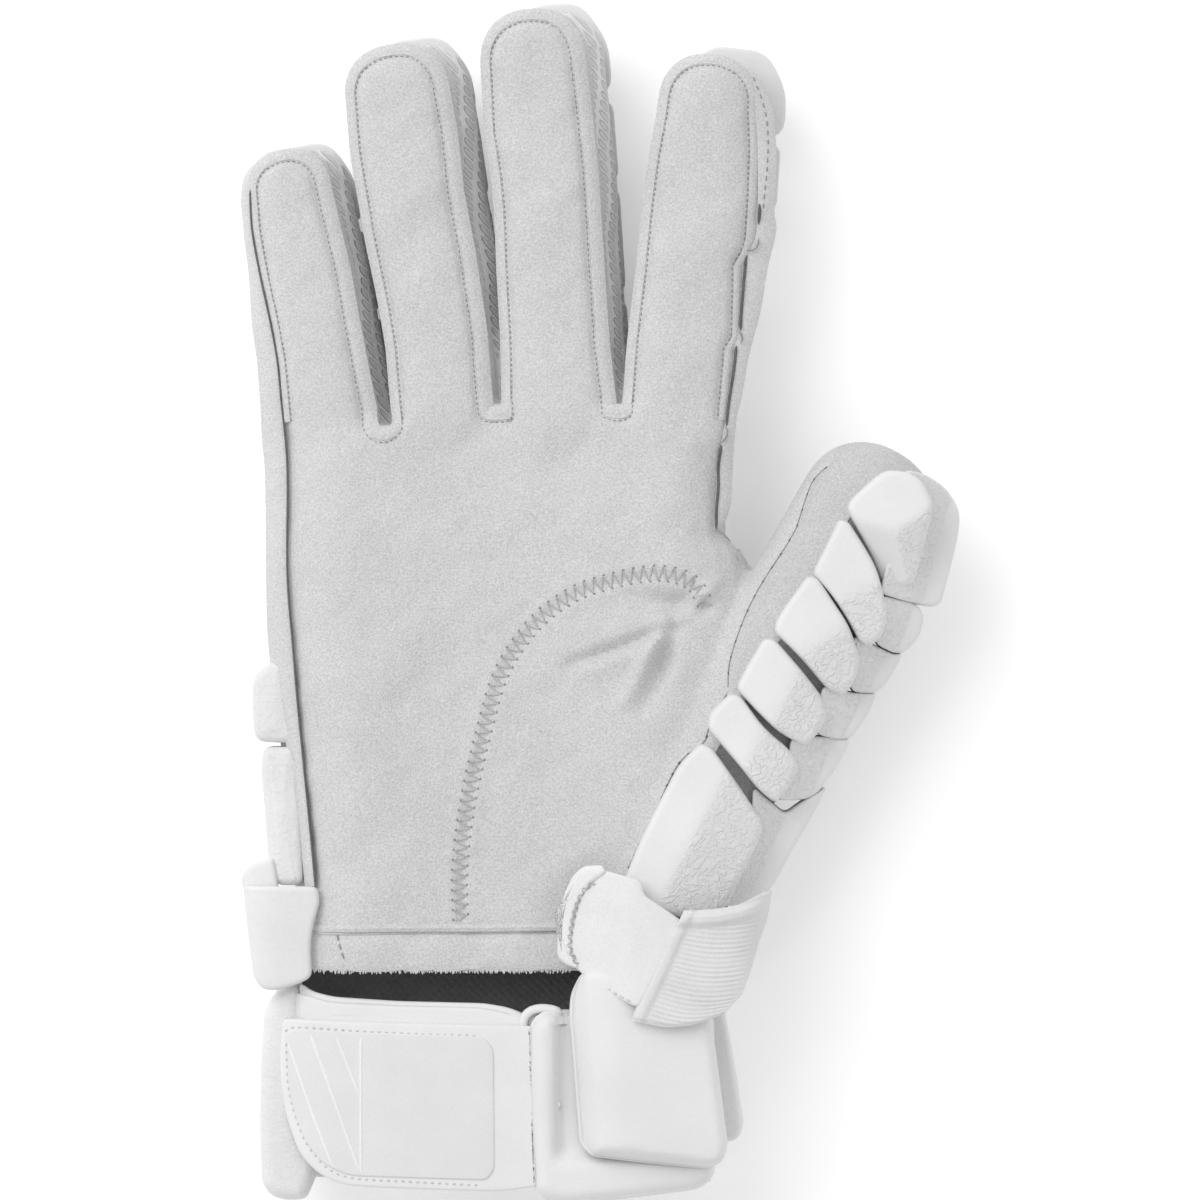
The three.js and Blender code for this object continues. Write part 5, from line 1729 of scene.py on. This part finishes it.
# %% The outer row
OUTER_PAD_LOW = 20
OUTER_PADS = [
    dict(
        outline=[
            (902, 469), (922, 473), (944, 486), (959, 509), (957, 535), (948, 572), (940, 601),
            (932, 605), (905, 600), (878, 592), (885, 560), (915, 500),
        ],
        radii=[2, 4, 4, 4, 5, 5, 1.5, 1.5, 2, 2, 3, 3],
        crease=[(947, 505), (925, 588)],
        rim=38,
        slope=0.8,
    ),
    dict(
        outline=[
            (880, 594), (914, 602), (923, 614), (919, 634), (905, 650), (894, 652), (874, 642),
            (872, 610),
        ],
        radii=[1.5, 2, 2, 2, 1.6, 1.6, 2, 2],
        crease=[(912, 606), (897, 648)],
        rim=38.5,
        slope=0.8,
    ),
    dict(
        outline=[
            (852, 634), (876, 645), (893, 653), (901, 652), (896, 664), (884, 684), (872, 692),
            (850, 690), (848, 660),
        ],
        radii=[1.5, 2, 1.5, 1.5, 2, 2, 1.6, 2, 2],
        crease=[(884, 655), (866, 690)],
        rim=38.5,
        slope=0.8,
    ),
    dict(
        outline=[
            (822, 684), (850, 691), (876, 692), (865, 716), (850, 736), (838, 738), (815, 732),
            (815, 705),
        ],
        radii=[1.5, 2, 1.5, 3, 1.6, 1.6, 2, 2],
        crease=[(860, 699), (842, 736)],
        rim=38,
        slope=0.8,
    ),
    dict(
        outline=[
            (790, 736), (816, 734), (850, 738), (838, 762), (818, 790), (806, 797), (776, 798),
            (784, 770),
        ],
        radii=[1.5, 2, 1.5, 3, 1.6, 1.6, 2, 2],
        crease=[(830, 745), (810, 793)],
        rim=37.5,
        slope=0.8,
    ),
    dict(
        outline=[
            (752, 784), (770, 800), (784, 812), (803, 798), (826, 785), (815, 808), (796, 840),
            (770, 888), (752, 903), (718, 903), (730, 880), (750, 830),
        ],
        radii=[2, 2, 2, 3, 1.5, 4, 6, 5, 3, 2, 4, 4],
        crease=[(784, 816), (747, 900)],
        rim=37,
        slope=0.75,
    ),
]


def crease_reach(row):
    """How far a point of the plan lies inwards of the crease of an outer pad."""
    (ax, ay), (bx, by) = traced(row["crease"])
    along = Vector((bx - ax, by - ay)).normalized()
    return lambda x, y: (x - ax) * along.y - (y - ay) * along.x


for number, row in enumerate(OUTER_PADS):
    reach = crease_reach(row)

    def outer_top(x, y):
        return row["rim"] + row["slope"] * max(0, reach(x, y)) - 0.12 * max(0, -reach(x, y))

    ring = round_corners(traced(row["outline"]), row["radii"], 4, 1.2)
    block = cushion("block", ring, outer_top, lambda x, y: OUTER_PAD_LOW, 1.2, base_edge=2.0, belly=0.3,
                    inner_rings=14)
    finish_pad(block, f"thumb_side_pad_{number + 1}", (f"thumb_outer_pad_{number + 1}",), angle=60,
               rule=lambda normal: 0.3, by_place=lambda x, y: smoothstep(-0.4, 0.6, reach(x, y)))

# %% [markdown]
# ## Pads on the back of the fingers and the hand
# From the palm only their edges show, but the glove is looked at from all sides. Each is a foam block
# with a round rim, sewn beside the next one with a deep seam between.

# %% Finger pads: ends as shares of the finger's length, from the tip down
FINGER_PAD_DEPTH = 11
PAD_GAP = 0.3
PAD_SEAM = 2.4
INDEX_LEDGES = [5.2, 4.6, 1.5, -5]
TIP_NARROWING = 0.23
FINGER_PAD_ENDS = dict(
    pinky=[-0.02, 0.3, 0.62, 1], ring=[-0.02, 0.21, 0.42, 0.69, 1],
    middle=[-0.02, 0.21, 0.42, 0.69, 1], index=[-0.035, 0.2, 0.4, 0.68, 1],
)


def finger_pad_outline(finger, ends, k):
    ledge = INDEX_LEDGES[k] if finger["name"] == "index" else 0
    length = finger["length"]
    near, far = ends[k], ends[k + 1]

    def side(share, sign):
        width = lerp(finger["tip"], max(finger["mid"], finger["root"]), clamp(share * 2))
        flare = lerp(finger["flare"], finger["tip_flare"], clamp(1 - share))
        if sign > 0:
            return width / 2 + finger["gusset"] - PAD_GAP + ledge
        return -width / 2 - flare + PAD_GAP

    s0 = length * (1 - near) - (0 if k == 0 else PAD_SEAM / 2)
    s1 = length * (1 - far) + PAD_SEAM / 2
    narrow = TIP_NARROWING * finger["tip"] if k == 0 else 0
    waist = (s0 - s1) * 0.45
    outline = [on_finger(finger, s1, side(far, -1)), on_finger(finger, s1, side(far, 1))]
    if k == 0:
        outline += [
            on_finger(finger, s0 - waist, side(near, 1)), on_finger(finger, s0, side(near, 1) - narrow),
            on_finger(finger, s0, side(near, -1) + narrow), on_finger(finger, s0 - waist, side(near, -1)),
        ]
    else:
        outline += [on_finger(finger, s0, side(near, 1)), on_finger(finger, s0, side(near, -1))]
    return outline


def crinkled_sides(normal):
    return 1 - smoothstep(0.35, 0.75, abs(normal[2]))


for finger in FINGERS:
    ends = FINGER_PAD_ENDS[finger["name"]]
    for k in range(len(ends) - 1):
        ring = round_corners(finger_pad_outline(finger, ends, k), [5 if k == 0 else 3] * 6, 4, 4)
        pad = cushion(
            "pad", ring, lambda x, y: LINER_Z + lift(y) - PAD_GAP + 1.2,
            lambda x, y: LINER_Z - FINGER_PAD_DEPTH + lift(y), 0.8, base_edge=2.6, belly=0.0,
        )
        name = f"{finger['name']}_pad_{k + 1}"
        finish_pad(pad, f"{name}_block", (name,), rule=crinkled_sides)


# %% [markdown]
# The back of the hand has six large blocks and the back of the cuff two. The glove rests on them, so
# their undersides are flat, with a wide bevel round them. Two small blocks guard the little finger's
# edge of the hand; they lie on the side panel, so their underside follows it.

# %% Pads on the back of the hand
HAND_PAD_ROWS = [(0.06, 0.5), (0.5, 0.985)]
HAND_PAD_COLUMNS = [-1, -0.34, 0.34, 1]
BACK_PAD_MARGIN = 1.5


def hand_edge(share, up):
    half = palm_at(up, 1) if share < 0 else min(1, palm_at(up, 2))
    flare = PINKY_FLARE if share < 0 else INDEX_FLARE
    return share * (half * KNUCKLE_HALF + flare - BACK_PAD_MARGIN)


for row, (low, high) in enumerate(HAND_PAD_ROWS):
    for column in range(3):
        left, right = HAND_PAD_COLUMNS[column], HAND_PAD_COLUMNS[column + 1]
        seam_left = 0 if left == -1 else PAD_SEAM / 2
        seam_right = 0 if right == 1 else PAD_SEAM / 2
        y0, y1 = low * PALM_LENGTH + PAD_SEAM / 2, high * PALM_LENGTH - PAD_SEAM / 2
        outline = [
            (hand_edge(left, low) + seam_left, y0), (hand_edge(right, low) - seam_right, y0),
            (hand_edge(right, high) - seam_right, y1), (hand_edge(left, high) + seam_left, y1),
        ]
        pad = cushion("pad", round_corners(outline, 5, 4, 5), lambda x, y: LINER_Z - 0.1,
                      lambda x, y: 0.0, 1.0, base_edge=3.2)
        name = f"hand_pad_{row + 1}_{column + 1}"
        finish_pad(pad, f"{name}_block", (name,), rule=crinkled_sides)


# %% Guards on the little finger's edge
def side_panel_height(x, y):
    seam = -palm_at(clamp(y / PALM_LENGTH), 1) * KNUCKLE_HALF
    return SEAM_Z - 1.2 - (SIDE_DEPTH * 0.72) * smoothstep(0, PINKY_FLARE, seam - x)


GUARDS = [
    dict(
        outline=[(271, 660), (253, 674), (252, 711), (255, 740), (296, 742), (290, 690), (284, 660)],
        top=34.2,
    ),
    dict(
        outline=[(263, 745), (261, 766), (269, 866), (276, 884), (304, 884), (301, 820), (296, 745)],
        top=34.6,
    ),
]
for number, row in enumerate(GUARDS):
    ring = round_corners(traced(row["outline"]), 3, 5, 3)
    pad = cushion("guard", ring, lambda x, y: row["top"], side_panel_height, 2.4, base_edge=0.6, crown=0.5)
    name = f"pinky_side_pad_{number + 1}"
    finish_pad(pad, f"{name}_block", (name,), rule=lambda normal: 0.45)

# %% [markdown]
# ## Cuff
# The cuff is a dark tube of lining round the wrist. A closing strap lies on its front, with a moulded
# patch on it; foam pads guard its sides and its back. The two pads by the thumb are the thickest:
# one wraps the front, the other stands on it.

# %% Sizes of the cuff
CUFF_CENTRE = -0.4
CUFF_HALF_WIDTH = 57.5
CUFF_HALF_DEPTH = 15
CUFF_Z = 27.3
CUFF_END = -63
CUFF_POWER = 3.4
LINING_THICKNESS = 2
WRIST_GAP = 12
STRAP_THICKNESS = 2.4


def cuff_height(x, offset, side=1):
    """Height of the cuff's front (side 1) or back (side -1) at x, grown by an offset."""
    across = clamp(abs(x - CUFF_CENTRE) / (CUFF_HALF_WIDTH + offset), 0, 0.999)
    return CUFF_Z + side * (CUFF_HALF_DEPTH + offset) * (1 - across ** CUFF_POWER) ** (1 / CUFF_POWER)


def cuff_ring(offset, points):
    fine = oblong(CUFF_HALF_WIDTH + offset, CUFF_HALF_DEPTH + offset, 400, CUFF_POWER)
    return [(CUFF_CENTRE + p.x, CUFF_Z + p.y) for p in spaced([Vector(p) for p in fine], points)]


# %% The lining: a tube whose front starts below the wrist opening
LINING_END = CUFF_END + 5
CUFF_POINTS = 110


def cuff_lining():
    rings = []
    for k in range(25):
        t = k / 24
        ring = []
        for x, z in cuff_ring(0, CUFF_POINTS):
            front = smoothstep(CUFF_Z - 4, CUFF_Z + 6, z)
            end = lerp(-0.3, -WRIST_GAP + 0.5, front)
            start = LINING_END + 11 * smoothstep(-42, -56, x)
            ring.append((x, lerp(start, end, t), z))
        rings.append(ring)
    tube = rolled("tube", rings, closed=False)
    tube.data.materials.clear()
    tube.data.materials.append(cuff_leather)
    tube.data.materials.append(lining_cloth)
    paint_pebble(tube, lambda normal: 0.2)
    area = cloth_area(tube)
    thicken(tube, LINING_THICKNESS, 1)
    finish_piece(tube, "cuff_lining", None, "lining", ("cuff_liner",), 50)
    print("cuff lining", round(area * 1e4, 1), "square cm")
    return tube


cuff_tube = cuff_lining()


# %% The closing strap
STRAP_OUTLINE = [
    (283, 1016), (532, 1022), (534, 1100), (537, 1182), (500, 1187), (400, 1184), (345, 1181), (319, 1170),
    (300, 1150), (286, 1112), (280, 1068),
]


def strap_height(x, y):
    """The strap follows the cuff and then comes to lie on the pad at its left."""
    edge = photo(300, 0)[0]
    if x > edge:
        return cuff_height(x, 0.3 + STRAP_THICKNESS)
    return cuff_height(edge, 0.3 + STRAP_THICKNESS) - 0.42 * (edge - x)


def outline_area(outline):
    return abs(ring_area(traced(outline))) * 1e-6


strap_ring = round_corners(traced(STRAP_OUTLINE), [2, 1, 2, 1, 4, 6, 8, 8, 8, 8, 8], 5, 2)
strap = cushion("strap", strap_ring, strap_height, lambda x, y: strap_height(x, y) - STRAP_THICKNESS, 0.9,
                base_edge=0.4, inner_rings=16)
finish_piece(strap, "closing_strap", strap_rubber, "strap", ("wrist_strap",))
strap_area = outline_area(STRAP_OUTLINE)
print("strap", round(strap_area * 1e4, 1), "square cm")

# %% The patch and its raised lines
PATCH_OUTLINE = [
    (285, 1030), (300, 1026), (484, 1032), (494, 1044), (495, 1164), (487, 1175), (350, 1171), (326, 1161),
    (307, 1140), (293, 1105), (287, 1070),
]
PATCH_RADII = [2.2, 3, 2.5, 2.5, 2.5, 2.5, 8, 8, 10, 10, 8]
PATCH_LINES = [
    [(362, 1033), (362, 1168)], [(289, 1040), (313, 1108), (334, 1162)],
    [(312, 1032), (337, 1100), (360, 1165)], [(338, 1034), (361, 1092)],
]
PATCH_STITCHES = [
    [(286, 1029), (300, 1024), (380, 1028), (478, 1032)],
    [(287, 1040), (289, 1080), (297, 1115), (309, 1142), (328, 1163), (352, 1173), (400, 1176),
     (480, 1180)],
]


def patch_top(x, y):
    return strap_height(x, y) + 0.5


patch_ring = round_corners(traced(PATCH_OUTLINE), PATCH_RADII, 6, 2)
patch_plate = cushion("plate", patch_ring, patch_top, lambda x, y: strap_height(x, y) - 0.6, 0.45,
                      base_edge=0.2, inner_rings=14)
finish_piece(patch_plate, "moulded_patch", patch_rubber, "patch", ("strap_patch",))
bead("patch_lines", [traced(line) for line in PATCH_LINES], patch_top, 0.42,
     raised_rubber, "patch")
on_strap = surface_finder(strap, patch_plate)
patch_pairs = []
for line in PATCH_STITCHES:
    patch_pairs += backstitches(open_line(traced(line), 0.5), 1.2, 1.2)
sew("patch_stitches", patch_pairs, on_strap, material=white_thread, thickness=0.5, arch=0.2, slot="patch")
bead("strap_seam", [[photo(*pixel) for pixel in [(531, 1024), (533, 1100), (536, 1181)]]],
     height_on(on_strap), 0.3, white_thread, "strap")

# %% The lip of the cuff: two soft layers, and the fold beside the right pads
LIP_OUTLINE = [
    (292, 990), (312, 994), (332, 999), (400, 1002), (480, 1004), (502, 1008), (524, 1015), (526, 1028),
    (290, 1026),
]
INNER_LIP_OUTLINE = [
    (300, 980), (313, 989), (334, 994), (400, 998), (484, 1000), (508, 1004), (528, 1012), (528, 1026),
    (298, 1020),
]
LIP_FOLD = [(523, 1026), (524, 1015), (530, 1008), (540, 1005), (552, 1006), (562, 1010)]


def lip(name, outline, lower):
    ring = round_corners(traced(outline), 2, 4, 2)
    top = lambda x, y: cuff_height(x, 0.4) - lower
    made = cushion(name, ring, top, lambda x, y: top(x, y) - 2.2, 1.0, base_edge=0.5, inner_rings=8)
    return finish_piece(made, name, cuff_leather, "pad")


lip("cuff_lip", LIP_OUTLINE, 0.0)
lip("cuff_inner_lip", INNER_LIP_OUTLINE, 1.6)
bead("cuff_lip_fold", [traced(LIP_FOLD)], lambda x, y: 43.4, 1.3, cuff_leather, "pad",
     sink=0.3, sides=12)


# %% Pads round the cuff
def cuff_pad(name, node, outline, top, bottom, edge, radius, belly=0.6, rule=None, rings=12):
    ring = round_corners(traced(outline), radius, 6, 2)
    pad = cushion("pad", ring, top, bottom, edge, base_edge=1.2, belly=belly, inner_rings=rings)
    return finish_pad(pad, name, (node,), material=cuff_leather, rule=rule, angle=60)


def level(height):
    return lambda x, y: height


SIDE_PAD_LOW = 16.5
SLIGHT_CRINKLE = 0.35
LEFT_PAD = [
    (288, 981), (275, 993), (266, 1010), (262, 1060), (261, 1130), (263, 1182), (272, 1194),
    (286, 1198), (304, 1197), (309, 1186), (318, 1163), (326, 1100), (324, 1020), (311, 1016),
    (301, 1013), (300, 986),
]
cuff_pad("cuff_left_pad", "cuff_pad_left", LEFT_PAD, level(34.6), level(SIDE_PAD_LOW), 3.2,
         [3, 5, 5, 8, 8, 5, 4, 4, 3.5, 3, 3, 2, 2, 2, 2, 2], rule=lambda normal: SLIGHT_CRINKLE)

# %% The pad that wraps the front is puffed at its left, with a trough beside the pad that stands on it
INNER_PAD = [
    (531, 1008), (532, 1100), (537, 1184), (546, 1193), (562, 1198), (622, 1192), (698, 1183),
    (712, 1172), (713, 1150), (712, 1008),
]
INNER_PAD_TOP = 47.6
TROUGH_DEPTH = 4.2
TROUGH_LEFT, TROUGH_END = photo(550, 1162)
TROUGH_FULL_X, TROUGH_FULL_Y = photo(564, 1142)


def inner_pad_top(x, y):
    across = smoothstep(TROUGH_LEFT, TROUGH_FULL_X, x)
    return INNER_PAD_TOP - TROUGH_DEPTH * across * smoothstep(TROUGH_END, TROUGH_FULL_Y, y)


cuff_pad("cuff_inner_pad", "cuff_pad_right_inner", INNER_PAD, inner_pad_top,
         lambda x, y: cuff_height(x, 0.3), 3.4, [7, 4, 4, 4, 4, 8, 5, 4, 4, 4], rings=30)

# %% The pad that stands on it has a bright edge at its left and slopes off at its end
OUTER_PAD = [
    (584, 966), (572, 990), (571, 1010), (576, 1070), (581, 1138), (592, 1149), (650, 1156),
    (706, 1161), (720, 1155), (725, 1140), (716, 1070), (708, 1010), (700, 966),
]
OUTER_PAD_BASE = 48.2
outer_planes = [
    falling((640, 1060), 55.4, -15, 0.035), falling((613, 1060), 55.4, 184, 0.3),
    falling((594, 1060), 53.9, 184, 1.3), falling((650, 1146), 55.0, 263, 1.4),
]
cuff_pad("cuff_outer_pad", "cuff_pad_right_outer", OUTER_PAD, lowest(outer_planes),
         level(OUTER_PAD_BASE), 2.6, [4, 5, 5, 8, 4, 4, 8, 5, 4, 5, 8, 8, 4], belly=0.5, rings=16)

# %% The thin pad at the cuff's right side
SIDE_PAD = [(694, 1003), (722, 1006), (734, 1071), (742, 1124), (737, 1137), (718, 1141), (700, 1080)]
cuff_pad("cuff_side_pad", "cuff_pad_right_side", SIDE_PAD, level(36), level(SIDE_PAD_LOW), 1.7, 3,
         rule=lambda normal: SLIGHT_CRINKLE)

# %% Pads on the back of the cuff
for side, name in ((-1, "cuff_pad_back_1"), (1, "cuff_pad_back_2")):
    inner = CUFF_CENTRE + side * PAD_SEAM / 2
    outer = CUFF_CENTRE + side * (CUFF_HALF_WIDTH - PAD_GAP)
    y0, y1 = CUFF_END + 5, HAND_PAD_ROWS[0][0] * PALM_LENGTH - PAD_SEAM / 2
    outline = [(inner, y0), (outer, y0), (outer, y1), (inner, y1)]
    pad = cushion("pad", round_corners(outline, 6, 5, 5), lambda x, y: min(cuff_height(x, 0.3, -1), 16),
                  level(0), 1.2, base_edge=3.2)
    finish_pad(pad, f"{name}_block", (name,), material=cuff_leather, rule=crinkled_sides)

# %% [markdown]
# ## Tabs
# A woven elastic loop holds the little finger's edge to the cuff. At the thumb a stiff webbing end is
# sewn over a ribbed elastic. Both bend over the hand's edge, so each is laid on a bend: the height
# of its underside for each x.

# %% Bends and bands
LEFT_BEND = [(-72.2, 21.9), (-71.4, 28.5), (-68.9, 33.9), (-64.6, 36.5), (-57.9, 37.1), (-48.8, 37.5)]
RIGHT_BEND = [
    (12.2, 44.3), (20.7, 48.1), (30.5, 53.8), (36.6, 57.0), (51.8, 57.6), (62.2, 56.1), (67.7, 51.9),
    (71, 43.8), (71.9, 31.4),
]
TAB_THICKNESS = 2.2


def along_points(points, share):
    """The point at a share of the way along a row of plan points."""
    vectors = [Vector(p) for p in points]
    lengths = [0.0]
    for a, b in zip(vectors, vectors[1:]):
        lengths.append(lengths[-1] + (b - a).length)
    want = share * lengths[-1]
    for k in range(len(vectors) - 1):
        if lengths[k + 1] >= want:
            t = (want - lengths[k]) / max(lengths[k + 1] - lengths[k], 1e-9)
            return vectors[k].lerp(vectors[k + 1], t)
    return vectors[-1]


def eased(rows):
    """A smooth curve through (x, height) rows."""
    fine = [(p.x, p.y) for p in open_line(rows, 0.6)]
    return lambda x, y: curve_value(fine, x)


left_bend, right_bend = eased(LEFT_BEND), eased(RIGHT_BEND)


def band(name, node, outline, bend, radius, material, slot, lift_by=0.0, thickness=TAB_THICKNESS, edge=0.9):
    ring = round_corners(traced(outline), radius, 5, 2)
    made = cushion(
        "band", ring, lambda x, y: bend(x, y) + lift_by + thickness, lambda x, y: bend(x, y) + lift_by,
        edge, base_edge=0.5, inner_rings=16,
    )
    return finish_piece(made, name, material, slot, (node,) if node else ())


# %% The woven loop at the little finger's side, and the turn of it that goes down behind
LOOP = [
    (242, 884), (318, 884), (321, 898), (314, 922), (311, 945), (313, 974), (300, 981), (275, 988),
    (262, 986), (254, 974), (248, 930),
]
LOOP_BACK = [(239, 882), (242, 872), (250, 864), (262, 858), (274, 855), (280, 890), (244, 892)]
band("left_loop", "left_tab", LOOP, left_bend, [2, 2.5, 3, 5, 5, 2, 3, 3, 2.5, 3, 8], loop_cloth,
     "elastic", thickness=3.0, edge=1.4)
band("left_loop_back", None, LOOP_BACK, left_bend, [1.5, 2, 3, 2, 2, 2, 2], loop_cloth, "elastic",
     lift_by=-4.2, thickness=3.4, edge=1.4)

# %% The webbing end, with its turned edge and two seams
WEBBING = [
    (566, 952), (568, 910), (578, 884), (592, 872), (604, 866), (641, 876), (643, 890), (680, 915),
    (680, 922), (638, 1002), (612, 990), (590, 976), (575, 963),
]
TURNED_EDGE = [
    (557, 953), (558, 920), (563, 893), (572, 873), (583, 862), (602, 861), (606, 868), (592, 878),
    (577, 898), (571, 925), (571, 950), (580, 965), (566, 961),
]
band("webbing_end", "right_tab_webbing", WEBBING, right_bend,
     [3, 12, 5, 3, 3, 3, 2, 3, 2, 2, 8, 6, 3], webbing_cloth, "webbing")
band("webbing_fold", None, TURNED_EDGE, right_bend, [4, 8, 8, 5, 3, 2, 2, 5, 8, 8, 5, 2, 2],
     webbing_cloth, "webbing", lift_by=0.9, thickness=2.4, edge=1.2)
on_webbing = surface_finder(bpy.data.objects["webbing_end"], bpy.data.objects["webbing_fold"])
FOLD_SEAM = [(594, 878), (583, 887), (576, 903), (571, 925), (570, 944), (577, 960)]
END_SEAM = [(588, 970), (602, 979), (616, 988), (632, 996)]
curl = open_line(traced(FOLD_SEAM), 1.1)
sides = [beside(curl, 0.8), beside(curl, -0.8)]
pairs = []
for k in range(len(curl) - 1):
    first, second = sides[k % 2][k], sides[(k + 1) % 2][k + 1]
    pairs.append(((first.x, first.y), (second.x, second.y)))
sew("fold_stitches", pairs, on_webbing, material=pale_thread, thickness=0.45, arch=0.3, slot="webbing")
sew("end_stitches", backstitches(open_line(traced(END_SEAM), 0.5), 1.4, 0.7), on_webbing,
    material=white_thread, thickness=0.6, arch=0.3, slot="webbing")

# %% The ribbed elastic: ribs run across it from the webbing to its outer edge
RIB_COUNT = 22
RIB_DEPTH = 0.14
RIB_UNEVEN = 0.45
TOP_FOLD = 0.85
LEFT_FOLD = 0.14
ELASTIC_LEFT = [(631, 1014), (636, 1000), (656, 961), (670, 930), (683, 905)]
ELASTIC_RIGHT = [(722, 1008), (741, 988), (748, 968), (757, 938), (766, 915), (771, 888)]
LOWER_BOW = 2.6
UPPER_BOW = 1.4
RIB_SLANT = 0.12
ELASTIC_COLUMNS = 40
ELASTIC_ROWS = 220


def elastic_rib(a, b):
    across = smoothstep(LEFT_FOLD, LEFT_FOLD + 0.05, a) * (1 - smoothstep(0.88, 0.97, a))
    ribbed = across * (1 - smoothstep(TOP_FOLD - 0.02, TOP_FOLD, b))
    up = b + RIB_SLANT * a
    uneven = 1 - RIB_UNEVEN * (0.5 + 0.5 * math.sin(31 * up + 2.5 * a))
    return RIB_DEPTH * ribbed * uneven * math.cos(2 * math.pi * RIB_COUNT * up / TOP_FOLD)


def elastic_surface(a, b):
    left_edge = along_points([photo(*p) for p in ELASTIC_LEFT], b)
    right_edge = along_points([photo(*p) for p in ELASTIC_RIGHT], b)
    p = left_edge.lerp(right_edge, a)
    y = p.y - math.sin(math.pi * a) * lerp(LOWER_BOW, UPPER_BOW, b)
    fold = 1.2 * smoothstep(TOP_FOLD - 0.02, TOP_FOLD + 0.05, b)
    fold += 0.8 * (1 - smoothstep(LEFT_FOLD - 0.05, LEFT_FOLD, a))
    round_end = 1.6 * smoothstep(0.93, 1, b) + 0.9 * (1 - smoothstep(0, 0.04, b))
    round_end += 0.8 * (1 - smoothstep(0, 0.03, a))
    return (p.x, y, right_bend(p.x - 2, y) + TAB_THICKNESS + fold - round_end - 0.3)


elastic = patch("elastic", ELASTIC_COLUMNS, ELASTIC_ROWS, elastic_surface)
thicken(elastic, TAB_THICKNESS)
for row in range(ELASTIC_ROWS + 1):
    for column in range(ELASTIC_COLUMNS + 1):
        vertex = elastic.data.vertices[row * (ELASTIC_COLUMNS + 1) + column]
        vertex.co.z += elastic_rib(column / ELASTIC_COLUMNS, row / ELASTIC_ROWS) * MM
finish_piece(elastic, "ribbed_elastic", elastic_cloth, "elastic", ("right_tab_elastic",), 60)

# %% [markdown]
# ## Camera, floor and light
# The photograph looks straight down on the palm from far away. The light is broad and soft, a little
# stronger from the upper left, and the ground is white.

# %% Camera
FOCAL_LENGTH = 260
SENSOR = 36
FRAME_WIDTH = 1200 * PIXEL * MM
GLOVE_MIDDLE_Z = 0.03
camera_data = bpy.data.cameras.new("camera")
camera_data.lens = FOCAL_LENGTH
camera_data.sensor_width = SENSOR
camera_data.clip_end = 20
camera = bpy.data.objects.new("camera", camera_data)
bpy.context.scene.collection.objects.link(camera)
camera.location = (0, 0, FRAME_WIDTH * FOCAL_LENGTH / SENSOR + GLOVE_MIDDLE_Z)
bpy.context.scene.camera = camera

# %% Floor: like a light table it glows a little, so that shadows stay pale
FLOOR_GLOW = 0.18
deselect()
bpy.ops.mesh.primitive_plane_add(size=8, location=(0, 0, -0.0004))
floor = bpy.context.object
floor.name = "floor"
floor_paint, tree, shader, mottle = base_material("floor_paint", 0.985, 0.99, 0.9, 3, 200, 0.2)
shader.inputs["Emission Color"].default_value = grey(1)
shader.inputs["Emission Strength"].default_value = FLOOR_GLOW
floor.data.materials.append(floor_paint)


# %% Light
def area_light(name, place_at, size, power_in_watts):
    data = bpy.data.lights.new(name, "AREA")
    data.size = size
    data.energy = power_in_watts
    lamp = bpy.data.objects.new(name, data)
    bpy.context.scene.collection.objects.link(lamp)
    lamp.location = place_at
    lamp.rotation_euler = (Vector((0, 0, 0.03)) - Vector(place_at)).to_track_quat("-Z", "Y").to_euler()
    return lamp


area_light("key", (-0.8, 0.8, 1.25), 1.5, 17)
area_light("fill", (0.9, -0.4, 1.4), 1.2, 1.5)
world = bpy.data.worlds.new("studio")
bpy.context.scene.world = world
world.use_nodes = True
world.node_tree.nodes["Background"].inputs["Color"].default_value = (1, 1, 1, 1)
world.node_tree.nodes["Background"].inputs["Strength"].default_value = 0.65
bpy.context.scene.view_settings.view_transform = "Standard"
